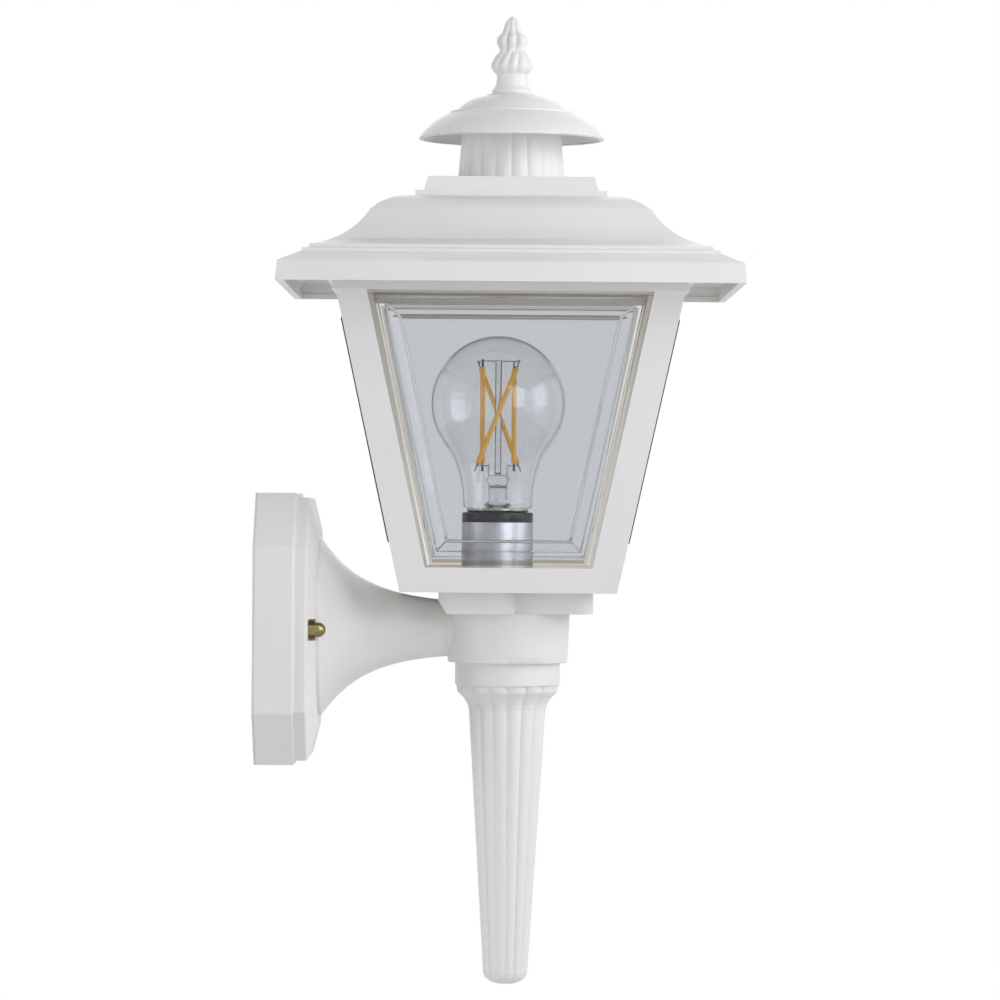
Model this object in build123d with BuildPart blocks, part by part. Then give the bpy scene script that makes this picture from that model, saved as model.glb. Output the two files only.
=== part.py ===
from build123d import *
import math
import os

os.makedirs("parts", exist_ok=True)

# Coach lantern for a wall, in millimetres.
# X runs out from the wall, Z is up, and the origin lies on the wall behind the arm's axis.

# Shared fits
thread_gap = 0.05           # fixed threads, drawn as plain cylinders
slip_gap = 0.1              # spigots in their sockets, rods in clearance holes
panel_gap = 0.2             # glazing panels in their grooves
lift_gap = 0.3              # the roof's curb around the cage rim
turn_gap = 0.3              # the lamp in its holder
edge_round = 0.8            # softened moulded edges
thread_end = 0.8            # thread standing out of a nut

# Main places
axis_reach = 112.0          # wall to the lantern's upright axis
lamp_offset = 5.0           # the lamp stands this much nearer the wall

# Backplate, a square with clipped corners in two tiers and a bevelled front
gasket_thickness = 1.0
gasket_width = 4.0
plate_margin = 15.8         # beyond the studs
plate_clip = 23.5
plate_corner_round = 1.5
plate_wall = 2.5
plate_tier_depth = 18.0
plate_step = 2.0
plate_second_depth = 5.5
bevel_rise = 3.7
bevel_run = 14.5
wire_hole_radius = 14.0

# Crossbar, studs and cap nuts
crossbar_end_room = 3.25    # to the gasket
crossbar_width = 16.0
crossbar_thickness = 1.6
box_screw_spacing = 69.85
box_slot_length = 10.0
box_slot_width = 4.6
stud_step = 9.525           # outwards from the box screws
stud_radius = 2.08
locknut_across = 8.7
locknut_height = 3.2
nut_seat_depth = 3.2        # landing below the front of the plate
nut_landing_room = 0.8      # beside the cap nut's corners
cap_nut_across = 6.9
cap_nut_hex_height = 2.9
cap_nut_shoulder = 1.3      # straight part below the dome
cap_nut_height = 7.7
cap_nut_crown = 1.2         # metal left over the end of the stud
ground_screw_place = 13.0
ground_screw_radius = 2.4
ground_head_across = 7.9
ground_head_height = 3.4
ground_washer_radius = 5.2
ground_washer_height = 0.9

# Arm, a trumpet that ends in a tube
arm_flange_room = 1.1       # to the cap nuts' corners
arm_flange_edge = 1.4
arm_wall = 2.8
arm_tube_radius = 12.6
arm_flare_length = 19.4     # the flare dies away over this length
arm_flare_points = 6
arm_spigot_shoulder = 2.0
arm_spigot_length = 5.0
arm_spigot_wall = 2.0
arm_screw_count = 4
arm_screw_circle = 26.0
arm_screw_turn = 45.0
arm_screw_radius = 1.7
arm_screw_bite = 6.5
arm_head_radius = 3.2
arm_head_height = 2.2
arm_boss_radius = 3.8

# Hub and saddle
hub_rise = 7.1
hub_drop = 15.1
hub_top_radius = 27.9
hub_foot_radius = 26.9
hub_wall = 5.0
hub_roof = 3.0
stub_lip = 0.3              # wider than the arm's tube
stub_reach = 27.2
stub_root = 18.0
saddle_height = 9.8
saddle_wall_reach = 31.0    # wall-side block, from the axis towards the wall
saddle_step = 3.0           # where the narrower outer block begins
saddle_width = 68.0
saddle_corner = 7.0
saddle_undercut_run = 3.7   # sloped foot of the wall-side end
saddle_undercut_rise = 5.9
saddle_nose_reach = 38.0
saddle_nose_width = 52.0
saddle_nose_corner = 8.0

# Tail, a reeded drop below the hub
tail_spigot_height = 6.0
tail_band_radius = 23.6
tail_band_height = 10.6
tail_wall = 2.5
reed_count = 16
capital_radius = 23.2
capital_lip = 2.6
capital_lip_taper = 0.5
capital_drop = 10.7
capital_hollow = 2.5        # how sharply the capital draws in below its lip
capital_rings = 5
shaft_radius = 17.3
shaft_foot_radius = 10.1
shaft_length = 115.5
tail_end_rise = 5.5
tail_end_rings = 4
tail_end_angle = 66.0       # the rounded end stops in a small flat
reed_share = 0.065          # reed height as a share of its radius

# Nipple and its nuts
nipple_radius = 4.9
nipple_bore = 3.4
nipple_nut_across = 14.3
nipple_nut_height = 3.0
nipple_tip = 0.2            # thread above the upper nut, under the lampholder
washer_radius = 8.0
washer_thickness = 0.8

# Cage and glazing
cage_base_half = 47.9
cage_top_half = 75.9
cage_height = 132.0
cage_wall = 3.1
cage_floor = 3.0
rail_height = 11.0
post_width = 13.3
rim_overhang = 1.8
rim_height = 7.1
rib_thickness = 2.0
panel_thickness = 2.0
panel_lap = 4.0             # panel edge hidden behind the frame
panel_border = 3.6          # outer flat of the border
panel_step_rise = 1.0
panel_land = 3.2            # raised flat before the bevel
panel_bevel = 4.8
panel_proud = 1.2           # centre field in front of the frame

# Roof
eave_overlap = 4.3
roof_wall = 2.4
skirt_overhang = 23.6       # beyond the cage's rim
skirt_batter = 0.9
skirt_height = 8.5
eave_run = 10.9
eave_rise = 4.6
eave_bead_run = 3.2
eave_bead_rise = 3.2
eave_bead_step = 1.2        # upright edges at the foot and the top of the bead
sweep_rise = 16.9           # lower slope, hollow
sweep_sag = 3.4
swell_run = 18.5            # upper slope, swelling
swell_rise = 7.1
swell_sag = 1.9
shoulder_run = 0.7
ledge_run = 3.5
ledge_height = 2.4
plinth_margin = 12.5        # beyond the chimney's foot
plinth_batter = 2.0
plinth_height = 6.6
curb_wall = 2.0
curb_hang = 3.0
curb_ledge = 5.0
curb_thickness = 2.0

# Chimney, hood and finial
chimney_reeds = 20
chimney_reed_share = 0.032
chimney_radius = 24.3
chimney_top_radius = 21.6
chimney_height = 30.0
chimney_wall = 3.4
hood_radius = 41.6
hood_wall = 2.0
hood_height = 20.2
hood_rim_drop = 11.2        # rim below the chimney's top
hood_boss_radius = 11.4
hood_boss_height = 0.7
hood_step_radius = 25.0
hood_step_width = 2.9
hood_step_drop = 1.0
hood_step_rise = 12.6
hood_skirt_sag = 1.3
hood_crown_sag = 1.6
hood_seat_wall = 5.0
finial_foot_radius = 9.0
finial_foot_height = 1.2
finial_neck_radius = 6.75
finial_bulb_radius = 9.45
finial_waist_radius = 5.6
finial_crown_radius = 7.0
finial_taper_radius = 3.5
finial_neck_rise = 7.6      # each rise is measured from the one before
finial_bulb_rise = 5.5
finial_waist_rise = 7.2
finial_crown_rise = 3.6
finial_taper_rise = 6.6
finial_tip_rise = 4.9
finial_thread = 11.0
finial_stud_radius = 2.4
clamp_bar_length = 50.0
clamp_bar_width = 14.0
clamp_bar_thickness = 2.0
stud_nut_across = 8.7
stud_nut_height = 3.2

# Lampholder and its bracket
bracket_thickness = 1.5
bracket_width = 12.0
bracket_end_room = 0.7      # inside the sleeve
bracket_short = 3.0         # the upper leg is this much shorter
bracket_head_room = 0.4     # over the end of the threaded tube
holder_wall = 1.2
holder_height = 25.9
holder_rim_height = 4.5
holder_floor = 3.0
sleeve_wall = 0.8
sleeve_foot_gap = 0.5
shell_wall = 0.4
shell_lift = 1.5
shell_depth = 1.9
tongue_length = 16.0
tongue_width = 6.0
tongue_thickness = 0.6
tongue_leaf = 0.9
tongue_leaf_length = 6.0
holder_screw_place = 7.5
holder_screw_radius = 1.5
holder_screw_head = 2.6
holder_screw_head_height = 1.6
holder_screw_bite = 2.4

# Lamp, a clear filament bulb with a 26 mm screw cap
cap_radius = 13.1
cap_wall = 0.5
cap_collar_step = 0.8
cap_collar_height = 1.4
cap_height = 17.5
cap_shoulder = 2.6
contact_radius = 4.8
contact_height = 1.8
insulator_height = 3.0
globe_radius = 30.3
globe_rise = 47.5           # globe centre above the collar's top edge
glass_wall = 0.8
neck_radius = 15.8
neck_rise = 1.5
waist_radius = 18.6
waist_rise = 19.1
blend_angle = 36.0          # where the globe runs into the neck, below its equator
glass_seat_depth = 1.0
stem_radius = 5.3
stem_flare_rise = 3.4
stem_flare_radius = 5.9
stem_neck_rise = 8.0
stem_shoulder_rise = 2.8
rod_radius = 1.45
rod_end = 0.5               # above the upper lead wires
filament_radius = 1.15
filament_circle = 11.15
filament_twist = 101.0
filament_count = 4
filament_drop = 4.5         # middle of the filaments below the globe's centre
filament_length = 43.0
lead_radius = 0.35
tie_radius = 0.26           # thinner wires between the leads and the filaments
lead_overrun = 0.7          # lead wires run on past the ties
lead_reach = 2.0            # lead wires beyond the filaments' ends
lead_spread = 4.2           # lead wires in the stem, from its axis
driver_thickness = 1.2
driver_head_room = 0.9

# Heights and places that follow
stud_spacing = box_screw_spacing + 2 * stud_step
plate_side = stud_spacing + 2 * plate_margin
plate_bevel_x = plate_tier_depth + plate_second_depth
plate_front_x = plate_bevel_x + bevel_rise
nut_seat_x = plate_front_x - nut_seat_depth
arm_end_x = axis_reach - stub_reach
arm_flange_radius = stud_spacing / 2 - cap_nut_across / math.sqrt(3) - arm_flange_room
arm_spigot_radius = arm_tube_radius - arm_spigot_shoulder
stub_radius = arm_tube_radius + stub_lip
hub_roof_z = hub_rise - hub_roof
cage_z = hub_rise + saddle_height
cage_floor_z = cage_z + cage_floor
rim_z = cage_z + cage_height
cage_top_z = rim_z + rim_height
rim_half = cage_top_half + rim_overhang
cage_flare = (cage_top_half - cage_base_half) / cage_height
cage_tilt = math.degrees(math.atan(cage_flare))
window_z = cage_z + rail_height
roof_z = cage_top_z - eave_overlap
eave_z = roof_z + skirt_height + eave_rise
sweep_z = eave_z + eave_bead_rise
swell_z = sweep_z + sweep_rise
ledge_z = swell_z + swell_rise
ledge_top_z = ledge_z + ledge_height
plinth_top_z = ledge_top_z + plinth_height
chimney_top_z = plinth_top_z + chimney_height
hood_rim_z = chimney_top_z - hood_rim_drop
hood_top_z = hood_rim_z + hood_height
lamp_x = axis_reach - lamp_offset
upper_nut_z = cage_floor_z + bracket_thickness
nipple_top_z = upper_nut_z + nipple_nut_height + nipple_tip
bracket_top_z = nipple_top_z + bracket_head_room + bracket_thickness
holder_floor_z = bracket_top_z + holder_floor
holder_top_z = bracket_top_z + holder_height
lamp_tip_z = holder_floor_z + tongue_thickness + tongue_leaf + turn_gap
insulator_z = lamp_tip_z + contact_height + turn_gap
cap_z = insulator_z + insulator_height
collar_top_z = cap_z + cap_height
globe_z = collar_top_z + globe_rise
cap_foot_radius = cap_radius - cap_shoulder
cap_collar_radius = cap_radius + cap_collar_step
shell_outer_radius = cap_radius + turn_gap + shell_wall
holder_bore_radius = shell_outer_radius + slip_gap
holder_radius = holder_bore_radius + holder_wall
sleeve_inner_radius = holder_radius + slip_gap
sleeve_radius = sleeve_inner_radius + sleeve_wall

lantern_axis = Axis((axis_reach, 0, 0), (0, 0, 1))
lamp_axis = Axis((lamp_x, 0, 0), (0, 0, 1))
lantern_profile = Plane(origin=(axis_reach, 0, 0), x_dir=(1, 0, 0), z_dir=(0, -1, 0))
lamp_profile = Plane(origin=(lamp_x, 0, 0), x_dir=(1, 0, 0), z_dir=(0, -1, 0))


def level(height, centre_x=axis_reach):
    """Horizontal plane at a height, centred on the lantern's axis unless told otherwise."""
    return Plane(origin=(centre_x, 0, height))


def upright(distance, place_y=0.0):
    """Plane parallel to the wall, centred on the arm's axis or beside it."""
    return Plane(origin=(distance, place_y, 0), x_dir=(0, 1, 0), z_dir=(1, 0, 0))


def plate_outline(distance, inset):
    """Square with clipped corners, parallel to the wall and set in evenly all round."""
    with BuildSketch(upright(distance)) as outline:
        Rectangle(plate_side - 2 * inset, plate_side - 2 * inset)
        chamfer(outline.vertices(), plate_clip - inset * (2 - math.sqrt(2)))
    return outline.sketch


def reeded_disc(height, radius, count, share):
    """Round face whose edge is a ring of convex reeds with sharp valleys."""
    valley = radius * (1 - share)
    pitch = 360 / count
    with BuildSketch(level(height)) as disc:
        with BuildLine():
            for reed in range(count):
                start = Vector(valley, 0).rotate(Axis.Z, reed * pitch)
                crest = Vector(radius, 0).rotate(Axis.Z, (reed + 0.5) * pitch)
                end = Vector(valley, 0).rotate(Axis.Z, ((reed + 1) % count) * pitch)
                ThreePointArc(start, crest, end)
        make_face()
    return disc.sketch


def cage_half(height):
    """Half the cage's outside width at a height."""
    return cage_base_half + (height - cage_z) * cage_flare


def tapered_block(low, high, half_x, half_y):
    """Block on the lantern's axis that flares with the cage; the halves follow the height."""
    with BuildPart() as block:
        for height in (low, high):
            with BuildSketch(level(height)):
                Rectangle(2 * half_x(height), 2 * half_y(height))
        loft(ruled=True)
    return block.part


def hexagon(plane, across):
    """Hexagon measured across its flats, with two flats square to the plane's first axis."""
    with BuildSketch(plane) as outline:
        RegularPolygon(across / 2, 6, major_radius=False, rotation=360 / 12)
    return outline.sketch


# Foam gasket between the backplate and the wall
with BuildPart() as wall_gasket:
    extrude(plate_outline(0, 0), amount=gasket_thickness)
    extrude(plate_outline(0, gasket_width), amount=gasket_thickness, mode=Mode.SUBTRACT)
wall_gasket.part.label = "wall_gasket"
export_step(wall_gasket.part, "parts/wall_gasket.step")

# Steel crossbar, screwed to the wall box through its slots
crossbar_length = plate_side - 2 * (gasket_width + crossbar_end_room)
with BuildPart() as crossbar:
    with BuildSketch(Plane.YZ) as strap:
        Rectangle(crossbar_length, crossbar_width)
        fillet(strap.vertices(), edge_round)
        with GridLocations(box_screw_spacing, 0, 2, 1):
            SlotOverall(box_slot_length, box_slot_width, mode=Mode.SUBTRACT)
        with GridLocations(stud_spacing, 0, 2, 1):
            Circle(stud_radius + thread_gap, mode=Mode.SUBTRACT)
        with Locations((ground_screw_place, 0)):
            Circle(ground_screw_radius + thread_gap, mode=Mode.SUBTRACT)
    extrude(amount=crossbar_thickness)
crossbar.part.label = "crossbar"
export_step(crossbar.part, "parts/crossbar.step")

# Two threaded studs that stand out of the crossbar
cap_nut_tip_x = nut_seat_x + cap_nut_height
stud_end_x = cap_nut_tip_x - cap_nut_crown - thread_gap
with BuildPart() as crossbar_studs:
    with BuildSketch(Plane.YZ):
        with GridLocations(stud_spacing, 0, 2, 1):
            Circle(stud_radius)
    extrude(amount=stud_end_x)
    chamfer(crossbar_studs.edges().group_by(Axis.X)[-1], stud_radius / 4)
crossbar_studs.part.label = "crossbar_studs"
export_step(crossbar_studs.part, "parts/crossbar_studs.step")

# Nuts that lock the studs to the crossbar
with BuildPart() as stud_locknuts:
    for side in (-1, 1):
        nut_plane = upright(crossbar_thickness, side * stud_spacing / 2)
        extrude(hexagon(nut_plane, locknut_across), amount=locknut_height)
    with BuildSketch(upright(crossbar_thickness)):
        with GridLocations(stud_spacing, 0, 2, 1):
            Circle(stud_radius + thread_gap)
    extrude(amount=locknut_height, mode=Mode.SUBTRACT)
stud_locknuts.part.label = "stud_locknuts"
export_step(stud_locknuts.part, "parts/stud_locknuts.step")

# Ground screw with a washer under its hexagon head
ground_head_x = crossbar_thickness + ground_washer_height
with BuildPart() as ground_screw:
    with BuildSketch(upright(0, ground_screw_place)):
        Circle(ground_screw_radius)
    extrude(amount=crossbar_thickness)
    with BuildSketch(upright(crossbar_thickness, ground_screw_place)):
        Circle(ground_washer_radius)
    extrude(amount=ground_washer_height)
    head_plane = upright(ground_head_x, ground_screw_place)
    extrude(hexagon(head_plane, ground_head_across), amount=ground_head_height)
ground_screw.part.label = "ground_screw"
export_step(ground_screw.part, "parts/ground_screw.step")

# Moulded backplate, open towards the wall, with a landing for each cap nut that runs out at the side
nut_landing_half = cap_nut_across / math.sqrt(3) + nut_landing_room
inner_tier_x = plate_tier_depth - plate_wall
inner_bevel_x = plate_bevel_x - plate_wall
inner_front_x = plate_front_x - plate_wall
inner_inset = plate_step + plate_wall
outer_bevel = [plate_outline(plate_bevel_x, plate_step), plate_outline(plate_front_x, plate_step + bevel_run)]
inner_bevel = [
    plate_outline(inner_bevel_x, inner_inset),
    plate_outline(inner_front_x, inner_inset + bevel_run),
]
inner_mouth = plate_outline(gasket_thickness, plate_wall)
with BuildPart() as backplate:
    extrude(plate_outline(gasket_thickness, 0), amount=plate_tier_depth - gasket_thickness)
    fillet(backplate.edges().filter_by(Axis.X), plate_corner_round)
    fillet(backplate.faces().sort_by(Axis.X)[-1].edges(), edge_round)
    extrude(plate_outline(plate_tier_depth, plate_step), amount=plate_second_depth)
    loft(outer_bevel, ruled=True)
    fillet(backplate.edges().filter_by_position(Axis.X, plate_bevel_x, plate_bevel_x), edge_round)
    extrude(inner_mouth, amount=inner_tier_x - gasket_thickness, mode=Mode.SUBTRACT)
    extrude(plate_outline(inner_tier_x, inner_inset), amount=inner_bevel_x - inner_tier_x, mode=Mode.SUBTRACT)
    loft(inner_bevel, ruled=True, mode=Mode.SUBTRACT)
    with BuildSketch(upright(nut_seat_x - plate_wall)):
        with GridLocations(stud_spacing, 0, 2, 1):
            Circle(nut_landing_half + plate_wall / 2)
    extrude(amount=plate_wall)
    with BuildSketch(upright(nut_seat_x)):
        with GridLocations(stud_spacing, 0, 2, 1):
            Circle(nut_landing_half)
        with GridLocations(stud_spacing + plate_margin, 0, 2, 1):
            Rectangle(plate_margin, 2 * nut_landing_half)
    extrude(amount=2 * nut_seat_depth, mode=Mode.SUBTRACT)
    with BuildSketch(upright(gasket_thickness)):
        Circle(wire_hole_radius)
        with PolarLocations(arm_screw_circle, arm_screw_count, start_angle=arm_screw_turn):
            Circle(arm_screw_radius + slip_gap)
        with GridLocations(stud_spacing, 0, 2, 1):
            Circle(stud_radius + slip_gap)
    extrude(amount=plate_front_x, mode=Mode.SUBTRACT)
backplate.part.label = "backplate"
export_step(backplate.part, "parts/backplate.step")

# Brass cap nuts on the studs
dome_x = nut_seat_x + cap_nut_hex_height
dome_radius = cap_nut_across / 2 - slip_gap
shoulder_x = dome_x + cap_nut_shoulder
dome_reach = cap_nut_tip_x - shoulder_x
with BuildPart() as cap_nuts:
    for side in (-1, 1):
        nut_plane = upright(nut_seat_x, side * stud_spacing / 2)
        extrude(hexagon(nut_plane, cap_nut_across), amount=cap_nut_hex_height)
        with BuildSketch(Plane.XZ.offset(-side * stud_spacing / 2)):
            with BuildLine():
                Polyline((dome_x, 0), (dome_x, dome_radius), (shoulder_x, dome_radius))
                EllipticalCenterArc((shoulder_x, 0), dome_reach, dome_radius, start_angle=0, arc_size=90)
                Line((cap_nut_tip_x, 0), (dome_x, 0))
            make_face()
        revolve(axis=Axis((0, side * stud_spacing / 2, 0), (1, 0, 0)))
    with BuildSketch(upright(nut_seat_x)):
        with GridLocations(stud_spacing, 0, 2, 1):
            Circle(stud_radius + thread_gap)
    extrude(amount=stud_end_x + thread_gap - nut_seat_x, mode=Mode.SUBTRACT)
cap_nuts.part.label = "cap_nuts"
export_step(cap_nuts.part, "parts/cap_nuts.step")

# Hollow arm, a trumpet of revolution with screw bosses inside its flange
flange_end_x = plate_front_x + arm_flange_edge
arm_bore_radius = arm_tube_radius - arm_wall
flare_end = math.exp((flange_end_x - arm_end_x) / arm_flare_length)
arm_curve = []
for point in range(1, arm_flare_points):
    along = (arm_end_x - flange_end_x) * (point / arm_flare_points) ** 2
    flare = (math.exp(-along / arm_flare_length) - flare_end) / (1 - flare_end)
    above = (arm_flange_radius - arm_tube_radius) * flare
    arm_curve.append((flange_end_x + along, arm_tube_radius + above))
arm_boss_length = arm_screw_bite + arm_wall / 2
with BuildPart() as arm_void:
    with BuildSketch(Plane.XZ):
        with BuildLine():
            Polyline((arm_end_x, arm_bore_radius), (arm_end_x, 0), (plate_front_x, 0))
            Line((plate_front_x, 0), (plate_front_x, arm_flange_radius - arm_wall))
            Spline(
                (plate_front_x, arm_flange_radius - arm_wall),
                *[(x, radius - arm_wall) for x, radius in arm_curve],
                (arm_end_x, arm_bore_radius),
            )
        make_face()
    revolve(axis=Axis.X)
    with BuildSketch(upright(plate_front_x)):
        with PolarLocations(arm_screw_circle, arm_screw_count, start_angle=arm_screw_turn):
            Circle(arm_boss_radius)
    extrude(amount=arm_boss_length, mode=Mode.SUBTRACT)

with BuildPart() as arm:
    with BuildSketch(Plane.XZ):
        with BuildLine():
            Polyline((arm_end_x, arm_tube_radius), (arm_end_x, 0), (plate_front_x, 0))
            Line((plate_front_x, 0), (plate_front_x, arm_flange_radius))
            Line((plate_front_x, arm_flange_radius), (flange_end_x, arm_flange_radius))
            Spline((flange_end_x, arm_flange_radius), *arm_curve, (arm_end_x, arm_tube_radius))
        make_face()
    revolve(axis=Axis.X)
    add(arm_void.part, mode=Mode.SUBTRACT)
    with BuildSketch(upright(arm_end_x - arm_wall)):
        Circle(arm_spigot_radius)
        Circle(arm_spigot_radius - arm_spigot_wall, mode=Mode.SUBTRACT)
    extrude(amount=arm_wall + arm_spigot_length)
    with BuildSketch(upright(plate_front_x)):
        with PolarLocations(arm_screw_circle, arm_screw_count, start_angle=arm_screw_turn):
            Circle(arm_screw_radius + thread_gap)
    extrude(amount=arm_screw_bite + slip_gap, mode=Mode.SUBTRACT)
arm.part.label = "arm"
export_step(arm.part, "parts/arm.step")

# Screws that hold the arm's flange to the backplate, heads inside
arm_head_x = plate_front_x - plate_wall
with BuildPart() as arm_screws:
    with BuildSketch(upright(arm_head_x - arm_head_height)):
        with PolarLocations(arm_screw_circle, arm_screw_count, start_angle=arm_screw_turn):
            Circle(arm_head_radius)
    extrude(amount=arm_head_height)
    chamfer(arm_screws.edges().group_by(Axis.X)[0], arm_head_height / 3)
    with BuildSketch(upright(arm_head_x)):
        with PolarLocations(arm_screw_circle, arm_screw_count, start_angle=arm_screw_turn):
            Circle(arm_screw_radius)
    extrude(amount=plate_wall + arm_screw_bite)
arm_screws.part.label = "arm_screws"
export_step(arm_screws.part, "parts/arm_screws.step")

# Hub, a drum open below with a stub that takes the arm's spigot
hub_bore_radius = hub_foot_radius - hub_wall
stub_bore_radius = arm_spigot_radius + slip_gap
with BuildPart() as hub:
    with BuildSketch(lantern_profile):
        with BuildLine():
            Polyline(
                (0, -hub_drop),
                (hub_foot_radius, -hub_drop),
                (hub_top_radius, hub_rise),
                (0, hub_rise),
                close=True,
            )
        make_face()
    revolve(axis=lantern_axis)
    fillet(hub.edges().group_by(Axis.Z)[0], edge_round / 2)
    with BuildSketch(upright(arm_end_x)):
        Circle(stub_radius)
    extrude(amount=stub_reach - stub_root)
    with BuildSketch(upright(arm_end_x)):
        Circle(arm_tube_radius + slip_gap)
    extrude(amount=-hub_top_radius, mode=Mode.SUBTRACT)
    with BuildSketch(level(-hub_drop)):
        Circle(hub_bore_radius)
    extrude(amount=hub_drop + hub_roof_z, mode=Mode.SUBTRACT)
    with BuildSketch(upright(arm_end_x)):
        Circle(stub_bore_radius)
    extrude(amount=stub_reach - stub_root, mode=Mode.SUBTRACT)
    with BuildSketch(level(hub_roof_z)):
        Circle(nipple_radius + slip_gap)
    extrude(amount=hub_roof, mode=Mode.SUBTRACT)
hub.part.label = "hub"
export_step(hub.part, "parts/hub.step")

# Saddle between the hub and the cage floor, cut away over the arm and sloped at its wall-side foot
with BuildPart() as saddle:
    with BuildSketch(level(hub_rise)) as wall_block:
        with Locations(((saddle_step - saddle_wall_reach) / 2, 0)):
            Rectangle(saddle_wall_reach + saddle_step, saddle_width)
        fillet(wall_block.vertices(), saddle_corner)
    extrude(amount=saddle_height)
    with BuildSketch(level(hub_rise)) as nose_block:
        with Locations((saddle_nose_reach / 2, 0)):
            Rectangle(saddle_nose_reach, saddle_nose_width)
        fillet(nose_block.vertices().group_by(Axis.X)[-1], saddle_nose_corner)
    extrude(amount=saddle_height)
    with BuildSketch(lantern_profile):
        with BuildLine():
            Polyline(
                (-saddle_wall_reach, hub_rise),
                (saddle_undercut_run - saddle_wall_reach, hub_rise),
                (-saddle_wall_reach, hub_rise + saddle_undercut_rise),
                close=True,
            )
        make_face()
    extrude(amount=saddle_width, both=True, mode=Mode.SUBTRACT)
    with BuildSketch(upright(axis_reach - saddle_wall_reach)):
        Circle(stub_radius + slip_gap)
    extrude(amount=saddle_wall_reach - stub_root + slip_gap, mode=Mode.SUBTRACT)
    with BuildSketch(level(hub_rise)):
        Circle(nipple_radius + slip_gap)
    extrude(amount=saddle_height, mode=Mode.SUBTRACT)
saddle.part.label = "saddle"
export_step(saddle.part, "parts/saddle.step")

# Tail, hollow, with a spigot in the hub, a plain band, a reeded capital and a reeded shaft
band_foot_z = -hub_drop - tail_band_height
capital_foot_z = band_foot_z - capital_lip - capital_drop
shaft_foot_z = capital_foot_z - shaft_length
lip_foot_z = band_foot_z - capital_lip
lip_foot_radius = capital_radius - capital_lip_taper
capital_discs = [reeded_disc(band_foot_z, capital_radius, reed_count, reed_share)]
for ring in range(capital_rings):
    along = ring / (capital_rings - 1)
    ring_radius = shaft_radius + (lip_foot_radius - shaft_radius) * (1 - along) ** capital_hollow
    capital_discs.append(reeded_disc(lip_foot_z - along * capital_drop, ring_radius, reed_count, reed_share))
end_discs = []
for ring in range(tail_end_rings):
    angle = math.radians(tail_end_angle * ring / (tail_end_rings - 1))
    ring_z = shaft_foot_z - tail_end_rise * math.sin(angle)
    end_discs.append(reeded_disc(ring_z, shaft_foot_radius * math.cos(angle), reed_count, reed_share))
with BuildPart() as tail:
    loft(capital_discs, ruled=True)
    loft([capital_discs[-1], end_discs[0]], ruled=True)
    loft(end_discs, ruled=True)
    with BuildSketch(lantern_profile):
        with BuildLine():
            Polyline(
                (0, band_foot_z),
                (tail_band_radius - edge_round, band_foot_z),
                (tail_band_radius, band_foot_z + edge_round),
                (tail_band_radius, -hub_drop),
                (hub_bore_radius - slip_gap, -hub_drop),
                (hub_bore_radius - slip_gap, tail_spigot_height - hub_drop),
                (0, tail_spigot_height - hub_drop),
                close=True,
            )
        make_face()
    revolve(axis=lantern_axis)
    bore_top_radius = hub_bore_radius - slip_gap - tail_wall
    bore_foot_radius = shaft_foot_radius * (1 - reed_share) - tail_wall
    bore_neck_radius = shaft_radius * (1 - reed_share) - tail_wall
    with BuildSketch(lantern_profile):
        with BuildLine():
            Polyline(
                (0, tail_spigot_height - hub_drop),
                (bore_top_radius, tail_spigot_height - hub_drop),
                (bore_top_radius, band_foot_z),
                (bore_neck_radius, band_foot_z - capital_lip),
                (bore_neck_radius, capital_foot_z),
                (bore_foot_radius, shaft_foot_z),
                (0, shaft_foot_z),
                close=True,
            )
        make_face()
    revolve(axis=lantern_axis, mode=Mode.SUBTRACT)
tail.part.label = "tail"
export_step(tail.part, "parts/tail.step")

# Threaded tube that clamps hub, saddle, cage floor and lamp bracket together
washer_z = hub_roof_z - washer_thickness
lower_nut_z = washer_z - nipple_nut_height
nipple_foot_z = lower_nut_z - thread_end
with BuildPart() as nipple:
    with BuildSketch(level(nipple_foot_z)):
        Circle(nipple_radius)
        Circle(nipple_bore, mode=Mode.SUBTRACT)
    extrude(amount=nipple_top_z - nipple_foot_z)
nipple.part.label = "nipple"
export_step(nipple.part, "parts/nipple.step")

# Hexagon nuts at both ends of the tube
with BuildPart() as nipple_nuts:
    for nut_z in (lower_nut_z, upper_nut_z):
        extrude(hexagon(level(nut_z), nipple_nut_across), amount=nipple_nut_height)
        with BuildSketch(level(nut_z)):
            Circle(nipple_radius + thread_gap)
        extrude(amount=nipple_nut_height, mode=Mode.SUBTRACT)
nipple_nuts.part.label = "nipple_nuts"
export_step(nipple_nuts.part, "parts/nipple_nuts.step")

# Washer between the lower nut and the hub
with BuildPart() as nipple_washer:
    with BuildSketch(level(washer_z)):
        Circle(washer_radius)
        Circle(nipple_radius + slip_gap, mode=Mode.SUBTRACT)
    extrude(amount=washer_thickness)
nipple_washer.part.label = "nipple_washer"
export_step(nipple_washer.part, "parts/nipple_washer.step")

# Cage of four posts with floor, rails, rim and grooves behind the posts for the panels
groove_depth = (panel_thickness + panel_gap) / math.cos(math.radians(cage_tilt))
groove_z = window_z - panel_lap


def window_half(height):
    return cage_half(height) - post_width


def groove_half(height):
    return window_half(height) + panel_lap + panel_gap


def groove_face(height):
    return cage_half(height) - cage_wall


def chamber_half(height):
    return groove_face(height) - groove_depth - rib_thickness


def past_outside(height):
    return cage_half(height) + cage_wall


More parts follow.
